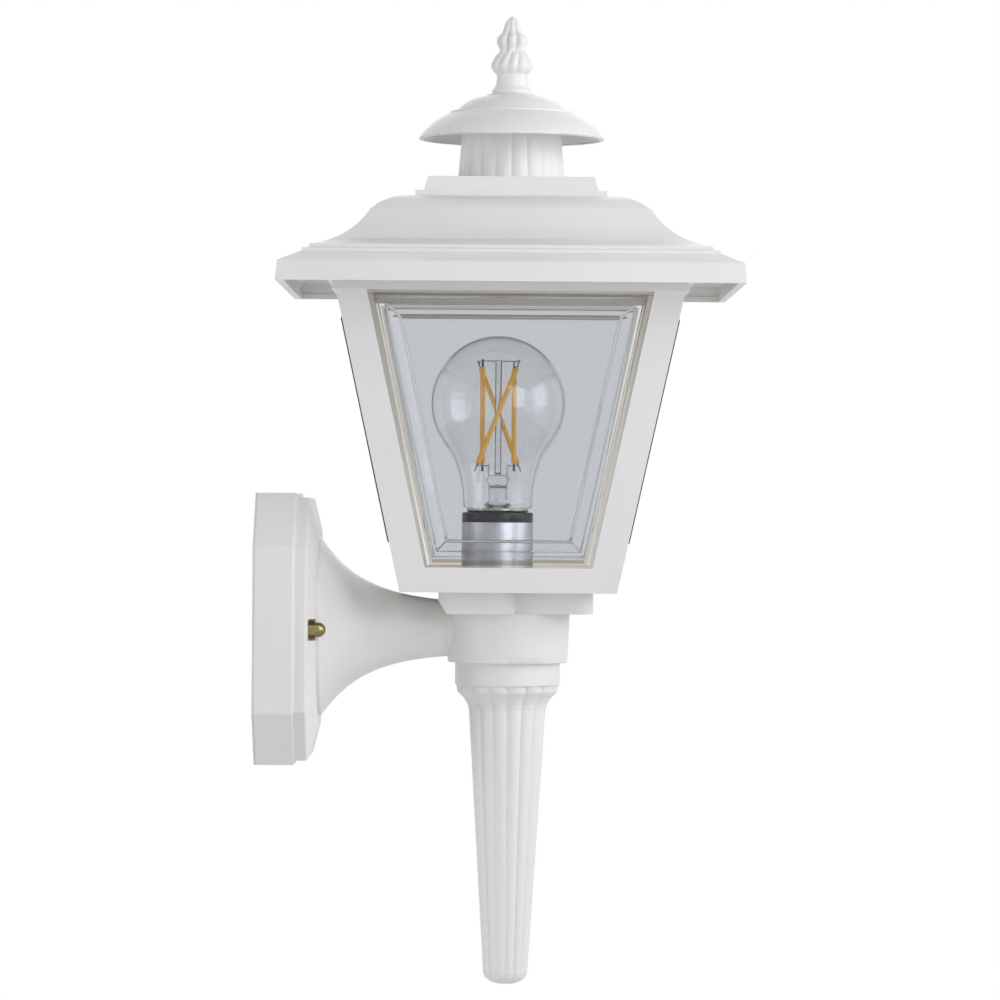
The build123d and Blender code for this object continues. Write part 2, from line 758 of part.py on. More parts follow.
cage_outside = tapered_block(cage_z, rim_z, cage_half, cage_half)
chamber = tapered_block(cage_floor_z, cage_top_z, chamber_half, chamber_half)
grooves_along_x = tapered_block(groove_z, cage_top_z, groove_face, groove_half)
grooves_along_y = tapered_block(groove_z, cage_top_z, groove_half, groove_face)
windows_along_x = tapered_block(window_z, rim_z, past_outside, window_half)
windows_along_y = tapered_block(window_z, rim_z, window_half, past_outside)
with BuildPart() as cage:
    add(cage_outside)
    with BuildSketch(level(rim_z)):
        Rectangle(2 * rim_half, 2 * rim_half)
    extrude(amount=rim_height)
    fillet(cage.edges().filter_by(Axis.Z), edge_round)
    for space in (chamber, grooves_along_x, grooves_along_y, windows_along_x, windows_along_y):
        add(space, mode=Mode.SUBTRACT)
    with BuildSketch(level(cage_z)):
        Circle(nipple_radius + slip_gap)
    extrude(amount=cage_floor, mode=Mode.SUBTRACT)
cage.part.label = "cage"
export_step(cage.part, "parts/cage.step")

# Clear glazing panels: a flat border in the grooves, a step, a mitred bevel and a raised field,
# hollow behind so that the bevel's back runs along with its front
panel_plane = Plane(
    origin=(axis_reach, -cage_half(window_z), window_z),
    x_dir=(1, 0, 0),
    z_dir=(0, -math.cos(math.radians(cage_tilt)), -math.sin(math.radians(cage_tilt))),
)
panel_slope = (rim_z - window_z) / math.cos(math.radians(cage_tilt))
panel_spread = cage_flare * math.cos(math.radians(cage_tilt))
border_depth = -cage_wall * math.cos(math.radians(cage_tilt)) - panel_gap / 2
land_depth = border_depth + panel_step_rise


def panel_face(depth, inset):
    """Upside-down trapezium of the window, set in evenly all round, at a depth from the frame's face."""
    side_inset = inset * math.sqrt(1 + panel_spread**2)
    foot_half = window_half(window_z) + inset * panel_spread - side_inset
    head_half = window_half(window_z) + (panel_slope - inset) * panel_spread - side_inset
    with BuildSketch(panel_plane.offset(depth)) as face:
        with BuildLine():
            Polyline(
                (-foot_half, inset), (foot_half, inset), (head_half, panel_slope - inset),
                (-head_half, panel_slope - inset), close=True,
            )
        make_face()
    return face.sketch


land_inset = panel_border
bevel_inset = land_inset + panel_land
field_inset = bevel_inset + panel_bevel
with BuildPart() as panel:
    extrude(panel_face(border_depth, -panel_lap), amount=-panel_thickness)
    extrude(panel_face(border_depth, land_inset), amount=panel_step_rise)
    loft([panel_face(land_depth, bevel_inset), panel_face(panel_proud, field_inset)], ruled=True)
    back_depth = border_depth - panel_thickness
    hollow_run = (panel_proud - border_depth) * panel_bevel / (panel_proud - land_depth)
    hollow_inset = field_inset + panel_thickness / 2
    loft(
        [
            panel_face(back_depth, hollow_inset - hollow_run),
            panel_face(panel_proud - panel_thickness, hollow_inset),
        ],
        ruled=True,
        mode=Mode.SUBTRACT,
    )
panel_turns = {"panel_front": 0, "panel_outer": 90, "panel_back": 180, "panel_wall_side": 270}
for panel_name, turn in panel_turns.items():
    placed_panel = panel.part.rotate(lantern_axis, turn)
    placed_panel.label = panel_name
    export_step(placed_panel, f"parts/{panel_name}.step")

# Steel bracket that carries the lampholder over the nut
bracket_reach = math.sqrt((sleeve_inner_radius - bracket_end_room) ** 2 - (bracket_width / 2) ** 2)
bracket_head_reach = bracket_reach - bracket_short
with BuildPart() as lamp_bracket:
    with BuildSketch(lamp_profile):
        with BuildLine():
            Polyline(
                (bracket_reach, cage_floor_z),
                (-bracket_reach, cage_floor_z),
                (-bracket_reach, bracket_top_z),
                (bracket_head_reach, bracket_top_z),
                (bracket_head_reach, bracket_top_z - bracket_thickness),
                (bracket_thickness - bracket_reach, bracket_top_z - bracket_thickness),
                (bracket_thickness - bracket_reach, cage_floor_z + bracket_thickness),
                (bracket_reach, cage_floor_z + bracket_thickness),
                close=True,
            )
        make_face()
    extrude(amount=bracket_width / 2, both=True)
    with BuildSketch(level(cage_floor_z)):
        Circle(nipple_radius + slip_gap)
    extrude(amount=bracket_thickness, mode=Mode.SUBTRACT)
    with BuildSketch(level(bracket_top_z - bracket_thickness, lamp_x - holder_screw_place)):
        Circle(holder_screw_radius + slip_gap)
    extrude(amount=bracket_thickness, mode=Mode.SUBTRACT)
lamp_bracket.part.label = "lamp_bracket"
export_step(lamp_bracket.part, "parts/lamp_bracket.step")

# Screw from the bracket into the lampholder's floor
with BuildPart() as holder_screw:
    with BuildSketch(level(bracket_top_z - bracket_thickness, lamp_x - holder_screw_place)):
        Circle(holder_screw_head)
    extrude(amount=-holder_screw_head_height)
    with BuildSketch(level(bracket_top_z - bracket_thickness, lamp_x - holder_screw_place)):
        Circle(holder_screw_radius)
    extrude(amount=bracket_thickness + holder_screw_bite)
holder_screw.part.label = "holder_screw"
export_step(holder_screw.part, "parts/holder_screw.step")

# Dark moulded lampholder with a rim over the sleeve
with BuildPart() as lampholder_body:
    with BuildSketch(level(bracket_top_z, lamp_x)):
        Circle(holder_radius)
    extrude(amount=holder_height)
    with BuildSketch(level(holder_top_z - holder_rim_height, lamp_x)):
        Circle(sleeve_radius)
    extrude(amount=holder_rim_height)
    fillet(lampholder_body.edges().group_by(Axis.Z)[-1], edge_round)
    with BuildSketch(level(holder_floor_z, lamp_x)):
        Circle(holder_bore_radius)
    extrude(amount=holder_height, mode=Mode.SUBTRACT)
    with BuildSketch(level(bracket_top_z, lamp_x - holder_screw_place)):
        Circle(holder_screw_radius + thread_gap)
    extrude(amount=holder_screw_bite + thread_gap, mode=Mode.SUBTRACT)
lampholder_body.part.label = "lampholder_body"
export_step(lampholder_body.part, "parts/lampholder_body.step")

# Bright foil sleeve around the lampholder
sleeve_foot_z = cage_floor_z + sleeve_foot_gap
with BuildPart() as lampholder_sleeve:
    with BuildSketch(level(sleeve_foot_z, lamp_x)):
        Circle(sleeve_radius)
        Circle(sleeve_inner_radius, mode=Mode.SUBTRACT)
    extrude(amount=holder_top_z - holder_rim_height - sleeve_foot_z)
lampholder_sleeve.part.label = "lampholder_sleeve"
export_step(lampholder_sleeve.part, "parts/lampholder_sleeve.step")

# Brass screw shell inside the lampholder
with BuildPart() as screw_shell:
    with BuildSketch(level(holder_floor_z + shell_lift, lamp_x)):
        Circle(shell_outer_radius)
        Circle(shell_outer_radius - shell_wall, mode=Mode.SUBTRACT)
    extrude(amount=holder_top_z - shell_depth - holder_floor_z - shell_lift)
screw_shell.part.label = "screw_shell"
export_step(screw_shell.part, "parts/screw_shell.step")

# Sprung brass tongue under the lamp's end contact
with BuildPart() as contact_tongue:
    with BuildSketch(level(holder_floor_z, lamp_x)):
        Rectangle(tongue_length, tongue_width)
    extrude(amount=tongue_thickness)
    with BuildSketch(level(holder_floor_z + tongue_thickness, lamp_x)):
        Rectangle(tongue_leaf_length, tongue_width)
    extrude(amount=tongue_leaf)
    fillet(contact_tongue.edges().filter_by(Axis.Y).group_by(Axis.Z)[-1], tongue_leaf / 2)
contact_tongue.part.label = "contact_tongue"
export_step(contact_tongue.part, "parts/contact_tongue.step")

# Lamp: end contact, a solder button
with BuildPart() as bulb_contact:
    with BuildSketch(level(lamp_tip_z, lamp_x)):
        Circle(contact_radius)
    extrude(amount=contact_height)
    fillet(bulb_contact.edges().group_by(Axis.Z)[0], contact_height / 2)
bulb_contact.part.label = "bulb_contact"
export_step(bulb_contact.part, "parts/bulb_contact.step")

# Lamp: dark insulator cone between contact and cap
with BuildPart() as bulb_insulator:
    with BuildSketch(level(insulator_z, lamp_x)):
        Circle(contact_radius + edge_round)
    with BuildSketch(level(cap_z, lamp_x)):
        Circle(cap_foot_radius)
    loft()
bulb_insulator.part.label = "bulb_insulator"
export_step(bulb_insulator.part, "parts/bulb_insulator.step")

# Lamp: thin nickel screw cap with a collar around the glass
collar_z = collar_top_z - cap_collar_height
with BuildPart() as bulb_cap:
    with BuildSketch(lamp_profile):
        with BuildLine():
            Polyline(
                (cap_foot_radius, cap_z),
                (cap_radius, cap_z + cap_shoulder),
                (cap_radius, collar_z),
                (cap_collar_radius, collar_z + cap_collar_height / 4),
                (cap_collar_radius, collar_top_z),
                (cap_collar_radius - cap_wall, collar_top_z),
                (cap_collar_radius - cap_wall, collar_z + cap_collar_height / 4),
                (cap_radius - cap_wall, collar_z),
                (cap_radius - cap_wall, cap_z + cap_shoulder),
                (cap_foot_radius - cap_wall, cap_z),
                close=True,
            )
        make_face()
    revolve(axis=lamp_axis)
bulb_cap.part.label = "bulb_cap"
export_step(bulb_cap.part, "parts/bulb_cap.step")

# Lamp: driver board standing inside the cap
glass_foot_z = collar_top_z - glass_seat_depth
driver_z = cap_z + cap_shoulder
driver_half = math.sqrt((cap_radius - cap_wall - slip_gap) ** 2 - (driver_thickness / 2) ** 2)
with BuildPart() as bulb_driver:
    with BuildSketch(level(driver_z, lamp_x)):
        Rectangle(2 * driver_half, driver_thickness)
    extrude(amount=glass_foot_z - driver_head_room - driver_z)
bulb_driver.part.label = "bulb_driver"
export_step(bulb_driver.part, "parts/bulb_driver.step")

# Lamp: clear glass, a globe on a narrow neck
glass_foot_radius = cap_collar_radius - cap_wall - slip_gap
neck_z = collar_top_z + neck_rise
blend_dip = math.radians(blend_angle)
blend_slope = (math.sin(blend_dip), math.cos(blend_dip))


def glass_outline(wall):
    """Half section of the globe and neck, filled to the lamp's axis and thinned by a wall."""
    ball = globe_radius - wall
    foot = (glass_foot_radius - wall, glass_foot_z)
    seat = (glass_foot_radius - wall, collar_top_z)
    neck = (neck_radius - wall, neck_z)
    waist = (waist_radius - wall, collar_top_z + waist_rise)
    blend = (ball * math.cos(blend_dip), globe_z - ball * math.sin(blend_dip))
    crown = (0, globe_z + ball)
    with BuildSketch(lamp_profile) as outline:
        with BuildLine():
            Polyline(crown, (0, glass_foot_z), foot, seat, neck)
            Spline(neck, waist, blend, tangents=((0, 1), blend_slope))
            RadiusArc(blend, crown, -ball)
        make_face()
    return outline.sketch


with BuildPart() as bulb_glass:
    revolve(glass_outline(0), axis=lamp_axis)
    revolve(glass_outline(glass_wall), axis=lamp_axis, mode=Mode.SUBTRACT)
bulb_glass.part.label = "bulb_glass"
export_step(bulb_glass.part, "parts/bulb_glass.step")

# Lamp: glass stem with its centre rod
stem_foot_radius = glass_foot_radius - glass_wall - slip_gap
flare_z = collar_top_z + stem_flare_rise
stem_neck_z = flare_z + stem_neck_rise
shoulder_z = stem_neck_z + stem_shoulder_rise
filament_foot_z = globe_z - filament_drop - filament_length / 2
filament_top_z = filament_foot_z + filament_length
lead_foot_z = filament_foot_z - lead_reach
lead_top_z = filament_top_z + lead_reach
rod_top_z = lead_top_z + rod_end
with BuildPart() as bulb_stem:
    with BuildSketch(lamp_profile):
        with BuildLine():
            Polyline(
                (rod_radius, shoulder_z),
                (rod_radius, rod_top_z),
                (0, rod_top_z),
                (0, glass_foot_z),
                (stem_foot_radius, glass_foot_z),
                (stem_foot_radius, collar_top_z),
            )
            Spline(
                (stem_foot_radius, collar_top_z),
                (stem_flare_radius, flare_z),
                (stem_radius, stem_neck_z),
                (rod_radius, shoulder_z),
            )
        make_face()
    revolve(axis=lamp_axis)
bulb_stem.part.label = "bulb_stem"
export_step(bulb_stem.part, "parts/bulb_stem.step")

# Lamp: four straight filaments, twisted around the rod
filament_lines = []
for strand in range(filament_count):
    middle = strand * 360 / filament_count
    foot = Vector(filament_circle, 0, 0).rotate(Axis.Z, middle - filament_twist / 2)
    head = Vector(filament_circle, 0, 0).rotate(Axis.Z, middle + filament_twist / 2)
    foot_point = foot + Vector(lamp_x, 0, filament_foot_z)
    head_point = head + Vector(lamp_x, 0, filament_top_z)
    filament_lines.append((foot_point, head_point))
with BuildPart() as bulb_filaments:
    for foot_point, head_point in filament_lines:
        with BuildSketch(Plane(origin=foot_point, z_dir=head_point - foot_point)):
            Circle(filament_radius)
        extrude(amount=(head_point - foot_point).length)
bulb_filaments.part.label = "bulb_filaments"
export_step(bulb_filaments.part, "parts/bulb_filaments.step")

# Lamp: nickel lead wires, one across each pair of filament ends, tied to them and to the rod or stem
lead_levels = [
    (lead_foot_z, [foot_point for foot_point, head_point in filament_lines], lead_spread),
    (lead_top_z, [head_point for foot_point, head_point in filament_lines], rod_radius / 2),
]
lead_wires = []
for side in (-1, 1):
    for lead_z, ends, arm_start in lead_levels:
        near_ends = [end for end in ends if side * (end.X - lamp_x) > 0]
        cross_ends = [Vector(end.X, end.Y, lead_z) for end in near_ends]
        cross_middle = (cross_ends[0] + cross_ends[1]) * 0.5
        overrun = (cross_ends[1] - cross_ends[0]).normalized() * lead_overrun
        arm_root = Vector(lamp_x + side * arm_start, cross_middle.Y, lead_z)
        lead_wires.append((cross_ends[0] - overrun, cross_ends[1] + overrun, lead_radius))
        lead_wires.append((arm_root, cross_middle, tie_radius))
        for end, cross_end in zip(near_ends, cross_ends):
            inside_end = end + (end - cross_end).normalized() * filament_radius
            lead_wires.append((inside_end, cross_end, tie_radius))
        if lead_z == lead_foot_z:
            stem_wire_foot = Vector(arm_root.X, arm_root.Y, shoulder_z - lead_reach)
            stem_wire_top = Vector(arm_root.X, arm_root.Y, lead_foot_z + lead_overrun)
            lead_wires.append((stem_wire_foot, stem_wire_top, lead_radius))
with BuildPart() as bulb_leads:
    for wire_start, wire_end, wire_radius in lead_wires:
        with BuildSketch(Plane(origin=wire_start, z_dir=wire_end - wire_start)):
            Circle(wire_radius)
        extrude(amount=(wire_end - wire_start).length)
    add(bulb_stem.part, mode=Mode.SUBTRACT)
    add(bulb_filaments.part, mode=Mode.SUBTRACT)
bulb_leads.part.label = "bulb_leads"
export_step(bulb_leads.part, "parts/bulb_leads.step")

# Roof: a moulded square roof with a skirt, a swept slope, a ledge and a plinth
skirt_half = rim_half + skirt_overhang
skirt_top_half = skirt_half - skirt_batter
eave_half = skirt_half - eave_run
sweep_half = eave_half - eave_bead_run
plinth_top_half = chimney_radius + plinth_margin
plinth_half = plinth_top_half + plinth_batter
ledge_half = plinth_half + ledge_run
shoulder_half = ledge_half + shoulder_run
swell_half = shoulder_half + swell_run


def roof_section(plane, thinner):
    """Upright section of the roof from side to side, thinned evenly by a wall."""
    with BuildSketch(plane) as section:
        with BuildLine() as slope:
            Polyline(
                (0, roof_z),
                (skirt_half, roof_z),
                (skirt_top_half, roof_z + skirt_height),
                (eave_half, eave_z),
                (eave_half, eave_z + eave_bead_step),
                (sweep_half, sweep_z - eave_bead_step),
                (sweep_half, sweep_z),
            )
            SagittaArc((sweep_half, sweep_z), (swell_half, swell_z), sweep_sag)
            SagittaArc((swell_half, swell_z), (shoulder_half, ledge_z), -swell_sag)
            Polyline(
                (shoulder_half, ledge_z),
                (ledge_half, ledge_z),
                (ledge_half, ledge_top_z),
                (plinth_half, ledge_top_z),
                (plinth_top_half, plinth_top_z),
                (0, plinth_top_z),
            )
            mirror(slope.line, about=Plane.YZ)
        make_face()
        if thinner > 0:
            offset(amount=-thinner, mode=Mode.REPLACE)
            with Locations((0, roof_z)):
                Rectangle(2 * (skirt_top_half - thinner), 4 * thinner)
    return section.sketch


def roof_form(thinner):
    """Square roof whose faces meet in mitred hips."""
    across_wall = upright(axis_reach)
    with BuildPart() as form:
        extrude(roof_section(lantern_profile, thinner), amount=2 * skirt_half, both=True)
        extrude(roof_section(across_wall, thinner), amount=2 * skirt_half, both=True, mode=Mode.INTERSECT)
    return form.part


roof_outside = roof_form(0)
roof_inside = roof_form(roof_wall)
curb_half = rim_half + lift_gap
with BuildPart() as roof_cavity:
    add(roof_inside)
    with BuildSketch(level(cage_top_z - curb_hang)):
        Rectangle(2 * (curb_half + curb_wall), 2 * (curb_half + curb_wall))
        Rectangle(2 * curb_half, 2 * curb_half, mode=Mode.SUBTRACT)
    extrude(amount=ledge_z - cage_top_z, mode=Mode.SUBTRACT)
    with BuildSketch(level(cage_top_z)):
        Rectangle(2 * (curb_half + curb_wall), 2 * (curb_half + curb_wall))
        Rectangle(2 * (curb_half - curb_ledge), 2 * (curb_half - curb_ledge), mode=Mode.SUBTRACT)
    extrude(amount=curb_thickness, mode=Mode.SUBTRACT)
with BuildPart() as roof:
    add(roof_outside)
    add(roof_cavity.part, mode=Mode.SUBTRACT)
    with BuildSketch(level(plinth_top_z - roof_wall)):
        Circle(finial_stud_radius + slip_gap)
    extrude(amount=roof_wall, mode=Mode.SUBTRACT)
roof.part.label = "roof"
export_step(roof.part, "parts/roof.step")

# Chimney, a reeded tube on the plinth
with BuildPart() as chimney:
    loft(
        [
            reeded_disc(plinth_top_z, chimney_radius, chimney_reeds, chimney_reed_share),
            reeded_disc(chimney_top_z, chimney_top_radius, chimney_reeds, chimney_reed_share),
        ],
        ruled=True,
    )
    with BuildSketch(level(plinth_top_z)):
        Circle(chimney_radius - chimney_wall)
    with BuildSketch(level(chimney_top_z)):
        Circle(chimney_top_radius - chimney_wall)
    loft(mode=Mode.SUBTRACT)
chimney.part.label = "chimney"
export_step(chimney.part, "parts/chimney.step")

# Hood, a round hollow cap with a stepped crown and a seat on the chimney
step_z = hood_rim_z + hood_step_rise
step_outer = hood_step_radius + hood_step_width


def hood_outline(wall):
    """Half section of the hood, filled to the axis and thinned by a wall."""
    rim = hood_radius - wall
    skirt_foot = (rim, hood_rim_z + edge_round)
    skirt_top = (step_outer - wall / 2, step_z - hood_step_drop - wall)
    step_corner = (step_outer - wall, step_z - wall)
    crown_foot = (hood_step_radius - wall / 2, step_z - wall / 2)
    crown_top = (hood_boss_radius, hood_top_z - hood_boss_height - wall)
    with BuildSketch(lantern_profile) as outline:
        with BuildLine():
            Polyline(crown_top, (0, crown_top[1]), (0, hood_rim_z), (rim, hood_rim_z), skirt_foot)
            SagittaArc(skirt_foot, skirt_top, -hood_skirt_sag)
            Polyline(skirt_top, step_corner, crown_foot)
            SagittaArc(crown_foot, crown_top, -hood_crown_sag)
        make_face()
    return outline.sketch


seat_radius = chimney_top_radius * (1 - chimney_reed_share)
with BuildPart() as hood_void:
    revolve(hood_outline(hood_wall), axis=lantern_axis)
    with BuildSketch(level(chimney_top_z)):
        Circle(seat_radius)
        Circle(seat_radius - hood_seat_wall, mode=Mode.SUBTRACT)
    extrude(amount=hood_height, mode=Mode.SUBTRACT)
with BuildPart() as hood:
    revolve(hood_outline(0), axis=lantern_axis)
    with BuildSketch(level(hood_top_z - hood_boss_height)):
        Circle(hood_boss_radius)
    extrude(amount=hood_boss_height)
    add(hood_void.part, mode=Mode.SUBTRACT)
    with BuildSketch(level(chimney_top_z)):
        Circle(finial_stud_radius + slip_gap)
    extrude(amount=hood_height, mode=Mode.SUBTRACT)
hood.part.label = "hood"
export_step(hood.part, "parts/hood.step")

# Flame finial: a turned foot and neck below two swelling tiers and a tip
finial_foot_z = hood_top_z + finial_foot_height
finial_neck_z = hood_top_z + finial_neck_rise
finial_bulb_z = finial_neck_z + finial_bulb_rise
finial_waist_z = finial_bulb_z + finial_waist_rise
finial_crown_z = finial_waist_z + finial_crown_rise
finial_taper_z = finial_crown_z + finial_taper_rise
finial_tip_z = finial_taper_z + finial_tip_rise
with BuildPart() as finial:
    with BuildSketch(lantern_profile):
        with BuildLine():
            Polyline(
                (0, finial_tip_z),
                (0, hood_top_z),
                (finial_foot_radius, hood_top_z),
                (finial_foot_radius, finial_foot_z),
            )
            Spline(
                (finial_foot_radius, finial_foot_z),
                (finial_neck_radius, finial_neck_z),
                (finial_bulb_radius, finial_bulb_z),
                (finial_waist_radius, finial_waist_z),
                (finial_crown_radius, finial_crown_z),
                (finial_taper_radius, finial_taper_z),
                (0, finial_tip_z),
            )
        make_face()
    revolve(axis=lantern_axis)
    with BuildSketch(level(hood_top_z)):
        Circle(finial_stud_radius + thread_gap)
    extrude(amount=finial_thread + thread_gap, mode=Mode.SUBTRACT)
finial.part.label = "finial"
export_step(finial.part, "parts/finial.step")

# Bar under the plinth that the finial's stud pulls against
clamp_bar_z = plinth_top_z - roof_wall - clamp_bar_thickness
with BuildPart() as clamp_bar:
    with BuildSketch(level(clamp_bar_z)):
        Rectangle(clamp_bar_length, clamp_bar_width)
        Circle(finial_stud_radius + slip_gap, mode=Mode.SUBTRACT)
    extrude(amount=clamp_bar_thickness)
clamp_bar.part.label = "clamp_bar"
export_step(clamp_bar.part, "parts/clamp_bar.step")

# Threaded stud from the bar up into the finial
stud_nut_z = clamp_bar_z - stud_nut_height
with BuildPart() as finial_stud:
    with BuildSketch(level(stud_nut_z - thread_end)):
        Circle(finial_stud_radius)
    extrude(amount=hood_top_z + finial_thread - stud_nut_z + thread_end)
finial_stud.part.label = "finial_stud"
export_step(finial_stud.part, "parts/finial_stud.step")

# Nut under the bar
with BuildPart() as finial_stud_nut:
    extrude(hexagon(level(stud_nut_z), stud_nut_across), amount=stud_nut_height)
    with BuildSketch(level(stud_nut_z)):
        Circle(finial_stud_radius + thread_gap)
    extrude(amount=stud_nut_height, mode=Mode.SUBTRACT)
finial_stud_nut.part.label = "finial_stud_nut"
export_step(finial_stud_nut.part, "parts/finial_stud_nut.step")
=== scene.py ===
import math

import bmesh
import bpy
from mathutils import Matrix, Vector


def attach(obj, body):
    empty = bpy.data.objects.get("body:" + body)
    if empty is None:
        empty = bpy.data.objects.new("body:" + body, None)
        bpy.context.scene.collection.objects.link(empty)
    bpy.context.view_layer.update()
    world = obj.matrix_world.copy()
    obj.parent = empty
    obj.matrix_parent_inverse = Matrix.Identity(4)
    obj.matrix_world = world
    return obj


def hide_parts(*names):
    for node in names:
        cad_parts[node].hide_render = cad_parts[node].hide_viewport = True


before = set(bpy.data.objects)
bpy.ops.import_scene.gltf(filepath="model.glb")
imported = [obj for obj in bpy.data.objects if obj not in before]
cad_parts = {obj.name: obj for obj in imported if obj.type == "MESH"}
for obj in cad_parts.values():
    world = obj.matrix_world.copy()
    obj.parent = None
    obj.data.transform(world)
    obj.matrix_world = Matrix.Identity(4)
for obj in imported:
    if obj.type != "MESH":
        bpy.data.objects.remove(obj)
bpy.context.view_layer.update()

# Wall gasket: a strip of pale closed-cell foam, die-cut to the backplate's outline.
# It is glued to the plate's rear edge and keeps rain out of the wall box.
mm = 0.001
seam_gap = 0.002
edge_steps = 3
corner_angle = 32


def to_linear(hex_colour):
    """Turns an sRGB hex colour into the linear colour that a shader takes."""
    channels = [int(hex_colour[start:start + 2], 16) / 255 for start in (0, 2, 4)]
    return tuple(c / 12.92 if c <= 0.04045 else ((c + 0.055) / 1.055) ** 2.4 for c in channels) + (1.0,)


def add_node(tree, kind, inputs=None, **settings):
    """Adds a node with its settings; an input given as (node, output) is linked, any other is set."""
    node = tree.nodes.new(kind)
    for name, value in settings.items():
        setattr(node, name, value)
    for socket, value in (inputs or {}).items():
        if isinstance(value, tuple) and isinstance(value[0], bpy.types.Node):
            tree.links.new(value[0].outputs[value[1]], node.inputs[socket])
        else:
            node.inputs[socket].default_value = value
    return node


def new_material(name):
    """Starts an empty material; its place node gives points on the piece in metres."""
    material = bpy.data.materials.new(name)
    material.use_nodes = True
    tree = material.node_tree
    tree.nodes.clear()
    place = add_node(tree, "ShaderNodeTexCoord")
    return material, tree, (place, "Object")


def dress(node, material, edge=0.0):
    """Gives a CAD piece its finish and eases its edges by a width in millimetres."""
    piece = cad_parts[node]
    piece.data.materials.clear()
    piece.data.materials.append(material)
    if edge:
        weld = piece.modifiers.new("joined_faces", "WELD")
        weld.merge_threshold = seam_gap * mm
        bevel = piece.modifiers.new("eased_edges", "BEVEL")
        bevel.width = edge * mm
        bevel.segments = edge_steps
        bevel.limit_method = "ANGLE"
        bevel.angle_limit = math.radians(corner_angle)
        bevel.use_clamp_overlap = True
        bevel.harden_normals = True


# Polyethylene foam, die-cut: matt, with open cells about 0.4 mm wide along the cut edge, drawn at 0.8 mm.
cell_width = 0.8
foam, tree, place = new_material("polyethylene_foam_die_cut")
cells = add_node(tree, "ShaderNodeTexVoronoi", {"Vector": place, "Scale": 1 / (cell_width * mm)})
tint = add_node(tree, "ShaderNodeMix", {
    "Factor": (cells, "Distance"), 6: to_linear("D8D4CA"), 7: to_linear("EAE7E0")}, data_type="RGBA")
pores = add_node(tree, "ShaderNodeBump", {
    "Height": (cells, "Distance"), "Strength": 0.5, "Distance": 0.2 * mm})
shader = add_node(tree, "ShaderNodeBsdfPrincipled", {
    "Base Color": (tint, 2), "Roughness": 0.9, "IOR": 1.5, "Normal": (pores, "Normal")})
add_node(tree, "ShaderNodeOutputMaterial", {"Surface": (shader, "BSDF")})
dress("wall_gasket", foam, 0.15)

# Crossbar and lock nuts: a punched steel strip, zinc plated, that screws to the wall box.
# Two pressed nuts lock the long studs to it.

# Zinc-plated steel, barrel plated: bright grey with soft blotches about 6 mm wide and fine tumbling marks.
blotch_width = 6
tumble_mark_width = 0.5
zinc, tree, place = new_material("zinc_plated_steel_barrel_plated")
blotch = add_node(tree, "ShaderNodeTexNoise", {
    "Vector": place, "Scale": 1 / (blotch_width * mm), "Detail": 3.0})
tint = add_node(tree, "ShaderNodeMix", {
    "Factor": (blotch, "Fac"), 6: to_linear("B4B7BB"), 7: to_linear("D3D4D3")}, data_type="RGBA")
haze = add_node(tree, "ShaderNodeMapRange", {"Value": (blotch, "Fac"), "To Min": 0.26, "To Max": 0.44})
marks = add_node(tree, "ShaderNodeTexNoise", {
    "Vector": place, "Scale": 1 / (tumble_mark_width * mm), "Detail": 2.0})
dents = add_node(tree, "ShaderNodeBump", {
    "Height": (marks, "Fac"), "Strength": 0.25, "Distance": 0.02 * mm})
shader = add_node(tree, "ShaderNodeBsdfPrincipled", {
    "Base Color": (tint, 2), "Metallic": 1.0, "Roughness": (haze, "Result"), "Normal": (dents, "Normal")})
add_node(tree, "ShaderNodeOutputMaterial", {"Surface": (shader, "BSDF")})
dress("crossbar", zinc, 0.2)
dress("stud_locknuts", zinc, 0.35)

# Ground screw: a hexagon-washer screw in the crossbar, dyed green so that it is found at once.
# The house's ground wire goes under its washer.

# Zinc-plated steel, green dyed: the dye lies thin over the bright plating, in clouds about 1.5 mm wide.
dye_cloud_width = 1.5
ground_green, tree, place = new_material("zinc_plated_steel_green_dyed")
dye = add_node(tree, "ShaderNodeTexNoise", {
    "Vector": place, "Scale": 1 / (dye_cloud_width * mm), "Detail": 3.0})
tint = add_node(tree, "ShaderNodeMix", {
    "Factor": (dye, "Fac"), 6: to_linear("24683A"), 7: to_linear("3C8C50")}, data_type="RGBA")
dents = add_node(tree, "ShaderNodeBump", {"Height": (dye, "Fac"), "Strength": 0.2, "Distance": 0.03 * mm})
shader = add_node(tree, "ShaderNodeBsdfPrincipled", {
    "Base Color": (tint, 2), "Metallic": 0.9, "Roughness": 0.32, "Normal": (dents, "Normal")})
add_node(tree, "ShaderNodeOutputMaterial", {"Surface": (shader, "BSDF")})
dress("ground_screw", ground_green, 0.3)

# Studs: two long machine screws without heads, number 8 with 32 threads to the inch, rolled and zinc plated.
# They stand out of the crossbar, pass through the backplate and take the cap nuts.
inch = 25.4
rings_per_thread = 6


def skin(form, rings, loop=False):
    """Joins rings of points with faces; the end rings are closed too, unless the last meets the first."""
    rows = [[form.verts.new(point) for point in ring] for ring in rings]
    pairs = list(zip(rows, rows[1:]))
    if loop:
        pairs.append((rows[-1], rows[0]))
    else:
        form.faces.new(rows[0])
        form.faces.new(rows[-1])
    for lower, upper in pairs:
        for index in range(len(lower)):
            after = (index + 1) % len(lower)
            form.faces.new((lower[index], lower[after], upper[after], upper[index]))


